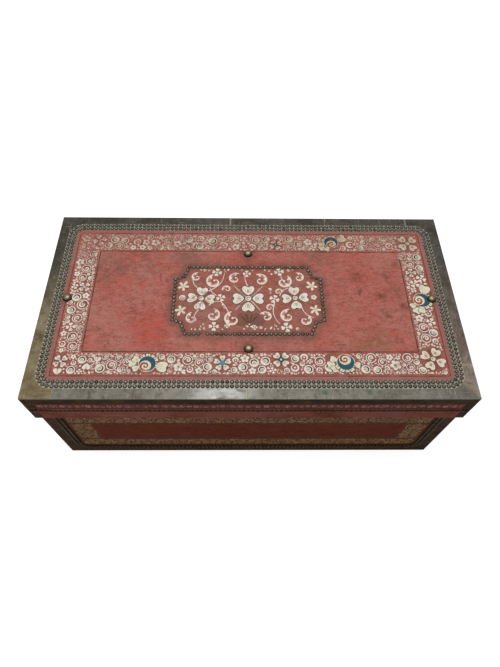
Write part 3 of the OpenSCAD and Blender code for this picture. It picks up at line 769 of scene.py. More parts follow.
@dataclass
class HideCover:
    """Hide glued over one box of boards, as a closed skin with the given sides open."""

    name: str
    node: str
    body: str
    finish: bpy.types.Material
    open_ends: tuple[int, ...]
    thickness: float = 2.0
    cell: float = 6.5
    border: tuple[float, float] = (20.0, 52.0)
    crowded: float = 1.0
    worn: list[Point3] = field(default_factory=list)
    soiled: tuple[Box, ...] = ()
    blur: float = 4.0
    fade_in: float = 20.0
    fade_out: float = 8.0

    def build(self) -> bpy.types.Object:
        """Build the skin and store where it is faded and grimed.

        Returns:
            The skin's object.
        """
        outer = Block.of(self.node)
        skin = self.thickness * MM
        shrink = Vector((skin, skin, 0))
        inner = Block(outer.low + shrink, outer.high - shrink)
        if 1 not in self.open_ends:
            inner = Block(inner.low, inner.high - Vector((0, 0, skin)))
        counts = [max(2, round(s / MM / self.cell)) for s in outer.high - outer.low]
        keys, faces = self.lattice(counts)
        shares = np.array(keys, float) / np.array(counts)
        both = [np.array(b.low) + shares * np.array(b.high - b.low) for b in (outer, inner)]
        self.swell(both[0], shares, outer)
        points, shell = closed_skin(*both, faces)
        made = new_object(self.name, points, shell, self.body)
        made.data.materials.append(self.finish)
        self.mark(made, np.array(points), outer)
        soften(made, 0.6 * MM)
        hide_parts(self.node)
        log.info("%s: %d faces", self.name, len(shell))
        return made

    def lattice(self, counts: Sequence[int]) -> tuple[list[tuple[int, ...]], list[tuple[int, ...]]]:
        """Lay a square mesh over the box's sides.

        Args:
            counts: The number of cells on x, y and z.

        Returns:
            Each point's place in the lattice, and the faces.
        """
        index: dict[tuple[int, ...], int] = {}
        faces = []
        for axis, end in ((axis, end) for axis in range(3) for end in (0, 1)):
            if axis == 2 and end in self.open_ends:
                continue
            u, v = (axis + 1) % 3, (axis + 2) % 3
            for a, b in ((a, b) for a in range(counts[u]) for b in range(counts[v])):
                ring = []
                for i, j in ((a, b), (a + 1, b), (a + 1, b + 1), (a, b + 1)):
                    key = [0, 0, 0]
                    key[axis], key[u], key[v] = end * counts[axis], i, j
                    ring.append(index.setdefault(tuple(key), len(index)))
                faces.append(tuple(ring if end else reversed(ring)))
        return list(index), faces

    def swell(self, points: np.ndarray, shares: np.ndarray, outer: Block) -> None:
        """Move the outer points by the sides' swell.

        Args:
            points: The outer points, changed in place.
            shares: Their place in the box, 0 to 1.
            outer: The box.
        """
        sides = {"left": (0, 0), "right": (0, 1), "front": (1, 0), "back": (1, 1), "top": (2, 1)}
        for name, (axis, end) in sides.items():
            if name == "top" and end in self.open_ends:
                continue
            side = outer.side(name)
            for i in np.flatnonzero(shares[:, axis] == end):
                offset = (Vector(points[i]) - side.middle) / MM
                rise = side.rise(offset.dot(side.along), offset.dot(side.up))
                points[i] += np.array(side.out) * rise * MM

    def mark(self, made: bpy.types.Object, points: np.ndarray, outer: Block) -> None:
        """Store how faded and how grimed the hide is at every point.

        Args:
            made: The skin's object.
            points: Its points.
            outer: Its box.
        """
        low, high = np.array(outer.low), np.array(outer.high)
        under = (high - points) * np.array((1, 1, self.crowded))
        distance = np.sort(np.minimum(points - low, under), axis=1)[:, 1] / MM
        start, end = self.border
        faded = np.clip((end - distance) / self.fade_out, 0, 1)
        faded = faded * np.clip((distance - start) / self.fade_in, 0, 1)
        grime = np.zeros(len(points))
        for x, y, reach in self.worn:
            away = np.hypot(points[:, 0] - x, points[:, 1] - y)
            grime = np.maximum(grime, np.clip(1 - away / reach, 0, 1))
        on_top = points[:, 2] > high[2] - 1 * MM
        for inset, end, half_w, depth in self.soiled:
            aside = half_w - np.abs(points[:, 0]) / MM
            for inwards in (distance - inset, end - distance, aside):
                depth = depth * np.clip(inwards / self.blur, 0, 1)
            grime = np.maximum(grime, depth * on_top)
        set_values(made, "faded", faded)
        set_values(made, "grime", grime)


@dataclass
class Hem:
    """A thin hide strip round the lid's foot, its free edge slightly wavy."""

    node: str
    side: str
    finish: bpy.types.Material
    columns: int = 120
    rows: int = 6
    waviness: float = 0.25

    def build(self) -> bpy.types.Object:
        """Build the strip.

        Returns:
            The strip's object.
        """
        block = Block.of(self.node)
        face = block.side(self.side, swell=0.0)
        thin = min(block.high.x - block.low.x, block.high.y - block.low.y) / MM
        outer = []
        for a in range(self.columns + 1):
            u = (2 * a / self.columns - 1) * face.half_w
            wave = self.waviness * (math.sin(u * 0.047) + math.sin(u * 0.113 + 1) - 2)
            for b in range(self.rows + 1):
                v = (2 * b / self.rows - 1) * face.half_h
                outer.append(face.point(u, v + (wave if b == self.rows else 0)))
        inner = [p - face.out * thin * MM for p in outer]
        step = self.rows + 1
        faces = [(i, i + step, i + step + 1, i + 1)
                 for a in range(self.columns) for i in range(a * step, a * step + self.rows)]
        made = new_object(self.node + "_hide", *closed_skin(outer, inner, faces), LID)
        made.data.materials.append(self.finish)
        soften(made, 0.25 * MM)
        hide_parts(self.node)
        log.info("%s: %d faces", made.name, len(made.data.polygons))
        return made


class Head(NamedTuple):
    """One nail head: its foot, the direction that it faces, its radius and its height."""

    foot: Vector
    facing: Vector
    radius: float
    height: float


@dataclass
class CloseNailing:
    """Rows of domed brass nails, one dome at the place of each CAD nail head."""

    node: str
    body: str = LID
    finish: bpy.types.Material | None = None
    spread: float = 0.07
    lean: float = 0.05
    seed: int = 7
    sides: int = 12
    grid: float = 0.02 * MM
    rim_from: float = 0.97
    shank_from: float = 1.4
    fit: float = 0.98
    profile: tuple[Point3, ...] = ((1.0, 0.0, 0.0), (0.98, 0.16, 0.1), (0.8, 0.55, 0.45), (0.48, 0.86, 0.85))

    def heads(self) -> list[Head]:
        """Find the nail heads in the CAD node, by the points that its triangles join.

        Returns:
            The heads.
        """
        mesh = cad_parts[self.node].data
        co = np.zeros(len(mesh.vertices) * 3)
        mesh.vertices.foreach_get("co", co)
        co = co.reshape(-1, 3)
        _, first, same = np.unique(np.round(co / self.grid).astype(np.int64), axis=0, return_index=True,
                                   return_inverse=True)
        co, same = co[first], same.ravel()
        corners = np.zeros(len(mesh.loops), np.int64)
        mesh.loops.foreach_get("vertex_index", corners)
        triangles = same[corners].reshape(-1, 3)
        label, before = np.arange(len(co)), None
        while before is None or (label != before).any():
            before, lowest = label.copy(), label[triangles].min(axis=1)
            for k in range(3):
                np.minimum.at(label, triangles[:, k], lowest)
        order = np.argsort(label, kind="stable")
        ends = np.flatnonzero(np.diff(label[order])) + 1
        return [self.head(co[part]) for part in np.split(order, ends)]

    def head(self, part: np.ndarray) -> Head:
        """Measure one nail from its points.

        Args:
            part: The points.

        Returns:
            Its head.
        """
        low, high = part.min(axis=0), part.max(axis=0)
        size, foot = high - low, (low + high) / 2
        axis = int(np.argmin([abs(size[(i + 1) % 3] - size[(i + 2) % 3]) for i in range(3)]))
        radius = float(size[(axis + 1) % 3] / 2)
        across = np.delete(part - foot, axis, axis=1)
        rim = part[np.linalg.norm(across, axis=1) > radius * self.rim_from, axis]
        has_shank = size[axis] > radius * self.shank_from
        outward = 1.0 if (rim.mean() > foot[axis]) == has_shank else -1.0
        foot[axis] = rim.min() if outward > 0 else rim.max()
        facing = Vector((0, 0, 0))
        facing[axis] = outward
        height = float(abs((high if outward > 0 else low)[axis] - foot[axis]))
        return Head(Vector(foot), facing, radius, height)

    def dome(self, radius: float, height: float) -> bpy.types.Object:
        """Make the one dome that is repeated.

        Args:
            radius: The head's radius in metres.
            height: Its height.

        Returns:
            The dome's object, outside the scene.
        """
        points, faces, crown = turned(self.profile, radius, height, self.sides)
        mesh = bpy.data.meshes.new("nail_dome")
        mesh.from_pydata(points, [], faces)
        mesh.shade_smooth()
        made = bpy.data.objects.new("nail_dome", mesh)
        set_values(made, "crown", crown)
        return made

    def tree(self) -> bpy.types.NodeTree:
        """Build the node tree that drives a dome in at every point.

        Returns:
            The tree, with the dome, the spread, the seed and the finish as inputs.
        """
        tree = bpy.data.node_groups.new("close_nailing", "GeometryNodeTree")
        tree.interface.new_socket("Geometry", in_out="OUTPUT", socket_type="NodeSocketGeometry")
        for name, kind in (("Geometry", "Geometry"), ("Dome", "Object"), ("Spread", "Float"),
                           ("Seed", "Int"), ("Finish", "Material")):
            tree.interface.new_socket(name, in_out="INPUT", socket_type="NodeSocket" + kind)
        net = Net(tree)
        given = net.add("NodeGroupInput").outputs
        seed = {"Seed": given["Seed"]}
        facing = net.add("GeometryNodeInputNamedAttribute", {"Name": "facing"}, data_type="FLOAT_VECTOR")
        align = net.add("FunctionNodeAlignRotationToVector", {"Vector": facing.outputs["Attribute"]},
                        axis="Z")
        dome = net.add("GeometryNodeObjectInfo", {"Object": given["Dome"]})
        least = net.add("ShaderNodeMath", {0: 1.0, 1: given["Spread"]}, operation="SUBTRACT")
        size = net.add("FunctionNodeRandomValue", {2: least.outputs[0], 3: 1.0} | seed)
        spots = net.add("GeometryNodeInstanceOnPoints", {
            "Points": given["Geometry"], "Instance": dome.outputs["Geometry"],
            "Rotation": align.outputs["Rotation"], "Scale": size.outputs[1]})
        low, high = (-self.lean, -self.lean, 0.0), (self.lean, self.lean, math.tau)
        lean = net.add("FunctionNodeRandomValue", {0: low, 1: high} | seed, data_type="FLOAT_VECTOR")
        turn = net.add("GeometryNodeRotateInstances",
                       {"Instances": spots.outputs[0], "Rotation": lean.outputs[0]})
        tint = net.add("FunctionNodeRandomValue", seed)
        store = net.add("GeometryNodeStoreNamedAttribute", {
            "Geometry": turn.outputs[0], "Name": "tint", "Value": tint.outputs[1]}, domain="INSTANCE")
        real = net.add("GeometryNodeRealizeInstances", {0: store.outputs[0]})
        finish = net.add("GeometryNodeSetMaterial",
                         {"Geometry": real.outputs[0], "Material": given["Finish"]})
        net.add("NodeGroupOutput", {0: finish.outputs[0]})
        return tree

    def build(self) -> bpy.types.Object:
        """Drive the nails and turn them into one plain mesh.

        Returns:
            The nails' object.
        """
        heads = self.heads()
        points = bpy.data.meshes.new(self.node + "_points")
        points.from_pydata([tuple(h.foot) for h in heads], [], [])
        facing = points.attributes.new("facing", "FLOAT_VECTOR", "POINT")
        facing.data.foreach_set("vector", [part for h in heads for part in h.facing])
        carrier = bpy.data.objects.new(self.node + "_carrier", points)
        bpy.context.scene.collection.objects.link(carrier)
        dome = self.dome(heads[0].radius * self.fit, heads[0].height)
        tree = self.tree()
        modifier = carrier.modifiers.new("nailing", "NODES")
        modifier.node_group = tree
        given = {"Dome": dome, "Spread": self.spread, "Seed": self.seed, "Finish": self.finish}
        for item in tree.interface.items_tree:
            if item.in_out == "INPUT" and item.name in given:
                modifier[item.identifier] = given[item.name]
        graph = bpy.context.evaluated_depsgraph_get()
        mesh = bpy.data.meshes.new_from_object(carrier.evaluated_get(graph), preserve_all_data_layers=True,
                                               depsgraph=graph)
        made = bpy.data.objects.new(self.node + "_heads", mesh)
        for spare in (carrier, dome):
            bpy.data.objects.remove(spare)
        bpy.context.scene.collection.objects.link(made)
        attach(made, self.body)
        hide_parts(self.node)
        log.info("%s: %d nails", self.node, len(heads))
        return made


@dataclass
class Bosses:
    """The lid's four great domed nails, each turned as one piece."""

    finish: bpy.types.Material
    node: str = "lid_bosses"
    sides: int = 40
    tint: float = 0.85
    profile: tuple[Point3, ...] = (
        (1.0, 0.0, 0.0), (1.0, 0.1, 0.05), (0.93, 0.17, 0.1), (0.9, 0.3, 0.12), (0.85, 0.52, 0.4),
        (0.72, 0.74, 0.7), (0.52, 0.9, 0.9), (0.27, 0.98, 1.0))

    def build(self) -> bpy.types.Object:
        """Turn the bosses.

        Returns:
            The bosses' object.
        """
        points, faces, crown = [], [], []
        for head in CloseNailing(self.node).heads():
            dome = turned(self.profile, head.radius, head.height, self.sides, head.foot)
            faces += [tuple(len(points) + i for i in ring) for ring in dome[1]]
            points += dome[0]
            crown += dome[2]
        made = new_object("lid_boss_domes", points, faces, LID, smooth=True)
        made.data.materials.append(self.finish)
        set_values(made, "crown", crown)
        set_values(made, "tint", [self.tint] * len(points))
        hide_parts(self.node)
        log.info("lid_boss_domes: %d faces", len(faces))
        return made


class Spot(NamedTuple):
    """Where a motif stands, in millimetres, with its radius, its turn in degrees and its hand, 1 or -1."""

    x: float
    y: float
    size: float
    turn: float = 0.0
    hand: int = 1

    @property
    def middle(self) -> Point:
        """The motif's middle."""
        return self.x, self.y

    def at(self, aside: float, reach: float) -> Point:
        """Find the point so many degrees aside of the turn, at a reach that is a share of the radius."""
        t = math.radians(self.turn + aside)
        return self.x + math.cos(t) * self.size * reach, self.y + math.sin(t) * self.size * reach


def circle(middle: Point, radius: float, turns: Iterable[float]) -> list[Point]:
    """Find the points of a circle at the given turns, in radians."""
    return [(middle[0] + radius * math.cos(t), middle[1] + radius * math.sin(t)) for t in turns]


@dataclass
class Brush:
    """Paints shapes on one face of the trunk as thin closed films.

    A shape is given in millimetres, with its pigment and its level: how many films lie under it.
    """

    name: str
    body: str
    face: Face
    films: dict[Pigment, bpy.types.Material]
    lift: float = 0.1
    sunk: float = 0.08
    film_height: float = 0.05
    stagger: float = 0.0008
    stagger_cycle: int = 16
    ring_sides: int = 16
    ring_share: float = 0.97
    points: list[Vector] = field(default_factory=list)
    faces: list[tuple[int, ...]] = field(default_factory=list)
    tones: list[Pigment] = field(default_factory=list)
    strokes: int = 0

    def film(self, rim: Sequence[Point], tops: Iterable[Sequence[int]], tone: Pigment, level: float) -> None:
        """Add one film.

        Args:
            rim: Its outline, counter-clockwise.
            tops: Its upper faces, as places in the outline.
            tone: Its pigment.
            level: Its level.
        """
        start, count = len(self.points), len(rim)
        height = self.lift + level * self.film_height + (self.strokes % self.stagger_cycle) * self.stagger
        self.strokes += 1
        for layer in (height, -self.sunk):
            self.points += [self.face.point(u, v, layer) for u, v in rim]
        made = []
        for top in tops:
            made.append(tuple(start + i for i in top))
            made.append(tuple(start + count + i for i in reversed(top)))
        for i in range(start, start + count):
            j = start + (i - start + 1) % count
            made.append((j, i, count + i, count + j))
        self.faces += made
        self.tones += [tone] * len(made)

    def blot(self, rim: Sequence[Point], tone: Pigment, level: float = 0) -> None:
        """Paint a filled shape from its outline, counter-clockwise."""
        self.film(rim, [tuple(range(len(rim)))], tone, level)

    def stroke(self, line: Sequence[Point], widths: Sequence[float], tone: Pigment, level: float = 0) -> None:
        """Paint a stroke along a line.

        Args:
            line: The line's points.
            widths: The stroke's width at each point.
            tone: Its pigment.
            level: Its level.
        """
        path, wide = np.array(line, float), np.array(widths, float)[:, None] / 2
        run = np.gradient(path, axis=0)
        run /= np.maximum(np.linalg.norm(run, axis=1, keepdims=True), 1e-9)
        side = np.stack([-run[:, 1], run[:, 0]], axis=1) * wide
        rim = np.concatenate([path - side, (path + side)[::-1]])
        count = len(path)
        tops = [(i, i + 1, 2 * count - 2 - i, 2 * count - 1 - i) for i in range(count - 1)]
        self.film([tuple(p) for p in rim], tops, tone, level)

    def rule(self, half_w: float, low: float, high: float, width: float, tone: Pigment,
             step: float = 9.0) -> None:
        """Paint a slightly unsteady line round a rectangle.

        Args:
            half_w: Half of the rectangle's width.
            low: Its lowest place up the face.
            high: Its highest.
            width: The line's width.
            tone: Its pigment.
            step: The distance between its bends.
        """
        corners = [(-half_w, low), (half_w, low), (half_w, high), (-half_w, high), (-half_w, low)]
        for (x0, y0), (x1, y1) in zip(corners, corners[1:]):
            count = max(2, round(math.hypot(x1 - x0, y1 - y0) / step))
            path = [(x0 + (x1 - x0) * i / count, y0 + (y1 - y0) * i / count) for i in range(count + 1)]
            self.stroke(path, [width * (1 + 0.25 * math.sin(7.3 * i + x0)) for i in range(count + 1)], tone)

    def disc(self, middle: Point, radius: float, tone: Pigment, level: float = 0, sides: int = 12) -> None:
        """Paint a dot or a disc."""
        self.blot(circle(middle, radius, [2 * math.pi * i / sides for i in range(sides)]), tone, level)

    def ring(self, middle: Point, radius: float, width: float, tone: Pigment) -> None:
        """Paint a ring, almost closed."""
        turns = [2 * math.pi * i / self.ring_sides * self.ring_share for i in range(self.ring_sides + 1)]
        self.stroke(circle(middle, radius, turns), [width] * len(turns), tone)

    def petal(self, foot: Point, turn: float, length: float, width: float, tone: Pigment,
              level: float = 0, notch: float = 0.0) -> None:
        """Paint a petal or a leaf.

        Args:
            foot: Its foot.
            turn: The way that it points, in degrees.
            length: Its length.
            width: Its width.
            tone: Its pigment.
            level: Its level.
            notch: How deep its tip is notched, as a share of its length.
        """
        (x, y), c, s = foot, math.cos(math.radians(turn)), math.sin(math.radians(turn))
        outline = ((0.0, 0.0), (0.14, 0.2), (0.38, 0.4), (0.66, 0.5), (0.9, 0.44), (1.0, 0.24),
                   (1.0 - notch, 0.0))
        half = [(a * length, -b * width) for a, b in outline]
        rim = half + [(a, -b) for a, b in reversed(half[1:-1])]
        self.blot([(x + a * c - b * s, y + a * s + b * c) for a, b in rim], tone, level)

    def arc(self, middle: Point, radius: float, start: float, end: float, width: float,
            tone: Pigment, level: float = 0) -> None:
        """Paint a crescent, thickest in its middle.

        Args:
            middle: The middle of its circle.
            radius: The circle's radius.
            start: Where it starts, in degrees.
            end: Where it ends.
            width: Its greatest width.
            tone: Its pigment.
            level: Its level.
        """
        count = max(7, round(abs(end - start) / 18))
        shares = [i / count for i in range(count + 1)]
        self.stroke(circle(middle, radius, [math.radians(start + (end - start) * s) for s in shares]),
                    [max(0.3, width * math.sin(math.pi * s) ** 0.7) for s in shares], tone, level)

    def curl(self, spot: Spot, width: float, tone: Pigment, level: float = 0, winds: float = 1.35) -> None:
        """Paint a curl that winds inwards.

        Args:
            spot: Its middle, its outer radius, where it starts, and its hand, 1 to wind counter-clockwise.
            width: Its width.
            tone: Its pigment.
            level: Its level.
            winds: How many times it winds.
        """
        count = max(9, round(winds * 15))
        shares = [i / count for i in range(count + 1)]
        turns = [math.radians(spot.turn) + spot.hand * s * winds * 2 * math.pi for s in shares]
        line = [circle(spot.middle, spot.size * (1 - 0.84 * s ** 1.15), [t])[0]
                for s, t in zip(shares, turns)]
        widths = [width * (0.45 + 0.8 * math.sin(math.pi * min(1.0, s + 0.12))) for s in shares]
        self.stroke(line, widths, tone, level)
        self.disc(line[-1], width * 0.75, tone, level, 8)

    def tendril(self, start: Point, end: Point, bow: float, width: float, tone: Pigment,
                level: float = 0) -> None:
        """Paint a bowed stem.

        Args:
            start: Its foot.
            end: Its tip.
            bow: How far its middle stands aside.
            width: Its width.
            tone: Its pigment.
            level: Its level.
        """
        (x0, y0), (x1, y1) = start, end
        across, up = x1 - x0, y1 - y0
        shares = [i / 8 for i in range(9)]
        bows = [bow * math.sin(math.pi * s) / math.hypot(across, up) for s in shares]
        line = [(x0 + across * s - up * b, y0 + up * s + across * b) for s, b in zip(shares, bows)]
        self.stroke(line, [width * (1 - 0.5 * s) for s in shares], tone, level)

    def build(self) -> bpy.types.Object:
        """Turn all the films into one mesh.

        Returns:
            The painting's object.
        """
        made = new_object(self.name, self.points, self.faces, self.body)
        order = list(Pigment)
        for tone in order:
            made.data.materials.append(self.films[tone])
        made.data.polygons.foreach_set("material_index", [order.index(t) for t in self.tones])
        log.info("%s: %d strokes, %d faces", self.name, self.strokes, len(self.faces))
        return made


@dataclass
class Ornament:
    """The painter's repertory: flowers, curls, sprigs and the fillings between them.

    Each motif is painted on a spot, and marks the room that it takes.
    """

    brush: Brush
    main: Pigment = Pigment.CREAM
    light: Pigment = Pigment.IVORY
    heart: Pigment = Pigment.SAGE
    dark: Pigment = Pigment.OLIVE
    taken: list[Point3] = field(default_factory=list)
    large_from: float = 5.5
    tries: float = 3
    uneven: Point = (0.85, 1.12)

    def take(self, middle: Point, radius: float) -> None:
        """Mark room as painted."""
        self.taken.append((*middle, radius))

    def blossom(self, spot: Spot, petals: int = 4, rays: bool = True, fullness: float = 3.2) -> None:
        """Paint an open flower with parted, notched petals.

        Args:
            spot: Its place.
            petals: How many petals it has.
            rays: Whether dark rays part the petals and vein them.
            fullness: The width of all the petals together, as a share of the radius.
        """
        b, size = self.brush, spot.size
        wide = size * fullness / petals
        for aside in (360 * i / petals for i in range(petals)):
            turn = spot.turn + aside
            if rays:
                b.petal(spot.at(aside, 0.23), turn, size * 0.8, wide * 1.1, self.dark, 0, 0.08)
            b.petal(spot.at(aside, 0.26), turn, size * 0.74, wide, self.main, 0.5, 0.16)
            if rays:
                b.petal(spot.at(aside, 0.42), turn, size * 0.28, wide * 0.2, self.heart, 1)
                for vein in (-16, -5, 6, 17):
                    b.stroke([spot.at(aside + vein, r) for r in (0.45, 0.6, 0.78)], [0.8, 0.6, 0.3],
                             Pigment.SHADE, 2)
                b.stroke([spot.at(aside + 180 / petals, r) for r in (0.3, 0.6, 0.85)], [1.3, 1.1, 0.6],
                         self.dark, 1)
        b.disc(spot.middle, size * 0.25, self.dark, 2)
        b.disc(spot.middle, size * 0.2, self.main, 3)
        if rays:
            b.arc(spot.middle, size * 0.1, 0, 300, size * 0.05, self.dark, 4)
        self.take(spot.middle, size * (1.1 if rays else 1.0))

    def floret(self, spot: Spot) -> None:
        """Paint a small four-petalled flower."""
        self.blossom(spot, 4, False)

    def rosette(self, spot: Spot) -> None:
        """Paint a small flower of five round beads.

        Args:
            spot: Its place.
        """
        size = spot.size
        for bead in range(5):
            self.brush.disc(spot.at(72 * bead, 0.6), size * 0.37, self.main, 0, 9)
        self.brush.disc(spot.middle, size * 0.3, self.heart, 1, 8)
        self.brush.disc(spot.middle, size * 0.13, self.dark, 2, 6)
        self.take(spot.middle, size)

    def eye(self, spot: Spot) -> None:
        """Paint a ringed bud: a light disc with a dark crescent round a pale heart.

        Args:
            spot: Its place.
        """
        b, size, turn = self.brush, spot.size, spot.turn
        b.disc(spot.middle, size * 0.92, self.main, 0, 14)
        b.arc(spot.middle, size * 0.56, turn + 50, turn + 310, size * 0.3, self.dark, 1)
        b.disc(spot.at(0, 0.1), size * 0.34, self.heart, 2, 9)
        self.take(spot.middle, size)

    def bud(self, spot: Spot) -> None:
        """Paint a curled bud: a ring open on one side, with a pointed leaf.

        Args:
            spot: Its place.
        """
        b, size, turn = self.brush, spot.size, spot.turn
        b.arc(spot.middle, size * 0.66, turn + 15, turn + 345, size * 0.42, self.main)
        b.disc(spot.middle, size * 0.22, self.main, 0, 8)
        b.petal(spot.at(0, 0.45), turn, size * 0.6, size * 0.4, self.main, 1)
        self.take(spot.middle, size)

    def volute(self, spot: Spot) -> None:
        """Paint a curl inside a ring.

        Args:
            spot: Its place.
        """
        b, size, turn = self.brush, spot.size, spot.turn
        b.ring(spot.middle, size * 0.84, size * 0.15, self.main)
        b.arc(spot.middle, size * 0.66, turn, turn + 250, size * 0.12, self.dark, 1)
        b.curl(Spot(*spot.middle, size * 0.56, turn + 180, spot.hand), size * 0.2, self.main, 2, 1.1)
        self.take(spot.middle, size)

    def fern(self, spot: Spot) -> None:
        """Paint a curl fringed with small leaves.

        Args:
            spot: Its place.
        """
        b, size = self.brush, spot.size
        b.curl(spot._replace(size=size * 0.86), size * 0.15, self.main, 3, 1.0)
        for i in range(9):
            aside, reach = spot.hand * (14 + i * 24), 0.8 - 0.032 * i
            tone = self.main if i % 3 == 0 else Pigment.ROSE
            b.petal(spot.at(aside, reach), spot.turn + aside + 180 - spot.hand * 34,
                    size * 0.42, size * 0.26, tone, 0.5 * (i % 2))
            if i % 2:
                b.stroke([spot.at(aside, reach * r) for r in (0.95, 0.68)], [0.5, 0.9], Pigment.SHADE, 2)
        self.take(spot.middle, size)

    def sprig(self, spot: Spot) -> None:
        """Paint a star-like sprig of leaves.

        Args:
            spot: Its place.
        """
        for aside, share in ((0, 1.0), (62, 0.8), (-62, 0.8), (140, 0.72), (-140, 0.72)):
            self.brush.petal(spot.middle, spot.turn + aside, spot.size * share, spot.size * 0.36, self.light)
        self.brush.disc(spot.middle, spot.size * 0.14, self.heart, 1, 7)
        self.take(spot.middle, spot.size)

    def love(self, spot: Spot) -> None:
        """Paint a heart-shaped leaf, its point facing the turn.

        Args:
            spot: Its place.
        """
        back, size = spot.turn + 180, spot.size
        for aside in (-24, 24):
            self.brush.petal(spot.at(0, 1.0), back + aside, size * 1.8, size * 1.05, self.main)
        self.brush.petal(spot.at(0, 0.4), back, size * 0.9, size * 0.45, self.heart, 1)
        self.take(spot.middle, size)

    def drops(self, spot: Spot) -> None:
        """Paint three drops side by side.

        Args:
            spot: Its place.
        """
        for aside in (-50, 0, 50):
            self.brush.petal(spot.at(0, -0.6), spot.turn + aside, spot.size * 1.1, spot.size * 0.5, self.main)
        self.take(spot.middle, spot.size * 0.8)

    def squiggle(self, spot: Spot) -> None:
        """Paint a short waving stroke.

        Args:
            spot: Its place.
        """
        c, s = math.cos(math.radians(spot.turn)), math.sin(math.radians(spot.turn))
        line = []
        for i in range(9):
            along, aside = spot.size * (i / 4 - 1), spot.size * 0.4 * math.sin(i * 1.5)
            line.append((spot.x + along * c - aside * s, spot.y + along * s + aside * c))
        self.brush.stroke(line, [0.4, 0.9, 1.3, 1.5, 1.5, 1.4, 1.2, 0.9, 0.4], self.main)
        self.take(spot.middle, spot.size * 0.8)

    def dot(self, spot: Spot) -> None:
        """Paint a single dab."""
        self.brush.petal(spot.at(0, -0.6), spot.turn, spot.size * 1.2, spot.size * 0.8, self.main)
        self.take(spot.middle, spot.size * 0.7)

    def peony(self, spot: Spot, wing: float = 1.45, droop: float = 0.0) -> None:
        """Paint the great half-open flower: a blue shell over an orange heart, with pale wings.

        Args:
            spot: Its place, the way that the shell bulges, and the side of the larger wing.
            wing: The length of the larger wing, as a share of the radius.
            droop: How far the smaller petals hang towards the shell, in degrees.
        """
        b, size, at = self.brush, spot.size, spot.at
        wings = ((-64, 0.85, wing, wing * 0.93), (125 - droop, 1.2, 0.9, 0.95),
                 (104 - droop, 0.85, 1.0, 0.85), (152 - droop, 0.9, 0.85, 0.75),
                 (-22, 0.8, 0.5, 0.55), (8, 0.8, 0.46, 0.52), (38, 0.8, 0.48, 0.52), (70, 0.8, 0.5, 0.55))
        for i, (aside, reach, long, wide) in enumerate(wings):
            aside *= spot.hand
            foot, turn = at(aside, reach), spot.turn + aside
            b.petal(foot, turn, size * (long + 0.06), size * (wide + 0.1), self.dark, i)
            b.petal(foot, turn, size * long, size * wide, self.light, i + 0.5, 0.08)
            for vein in (-9, 0, 8):
                b.stroke([at(aside + vein, reach + 0.3), at(aside + vein, reach + long * 0.7)], [0.9, 0.4],
                         self.heart, 9)
        for level, (back, share, tone, sides) in enumerate((
                (0, 1.02, self.light, 26), (0, 0.95, Pigment.TEAL, 26), (0.34, 0.66, self.light, 22),
                (0.4, 0.58, Pigment.ORANGE, 20), (0.5, 0.42, Pigment.SHADE, 16)), 9):
            b.disc(at(180, back), size * share, tone, level, sides)
        b.curl(Spot(*at(180, 0.36), size * 0.55, spot.turn + 60 * spot.hand, -spot.hand),
               size * 0.17, self.light, 14, 1.25)
        for aside in range(-72, 73, 18):
            b.stroke([at(aside, 0.9), at(aside, 1.16)], [1.5, 0.5], self.dark, 11)
        self.take(spot.middle, size * 1.3)
        for aside, reach, room in ((-64, 0.85 + wing / 2, wing * 0.55), (125, 1.65, 0.6), (152, 1.3, 0.6)):
            self.take(at(spot.hand * aside, reach), size * room)

    def fill(self, areas: Sequence[Box], sizes: Sequence[float], seed: int, packing: float) -> None:
        """Fill areas with small motifs, larger ones first, where nothing is painted.

        Args:
            areas: Rectangles as lowest x, lowest y, highest x, highest y.
            sizes: The radii tried, from large to small.
            seed: The seed of the places and the motifs.
            packing: How near two motifs may stand, as a share of their radii.
        """
        dice = random.Random(seed)
        large = (self.volute, self.eye, self.eye, self.bud, self.rosette, self.eye, self.floret)
        small = (self.rosette, self.drops, self.dot, self.squiggle, self.squiggle, self.love, self.eye,
                 self.bud)
        for size, (x0, y0, x1, y1) in ((size, area) for size in sizes for area in areas):
            for _ in range(round((x1 - x0) * (y1 - y0) / size ** 2 * self.tries)):
                reach = size * dice.uniform(*self.uneven)
                if min(x1 - x0, y1 - y0) < 2 * reach:
                    continue
                x, y = dice.uniform(x0 + reach, x1 - reach), dice.uniform(y0 + reach, y1 - reach)
                if any(math.hypot(x - a, y - b) < (reach + r) * packing for a, b, r in self.taken):
                    continue
                kind = dice.choice(large if size > self.large_from else small)
                turn = dice.uniform(0, 360)
                kind(Spot(x, y, reach, turn, dice.choice((-1, 1)) if kind == self.volute else 1))


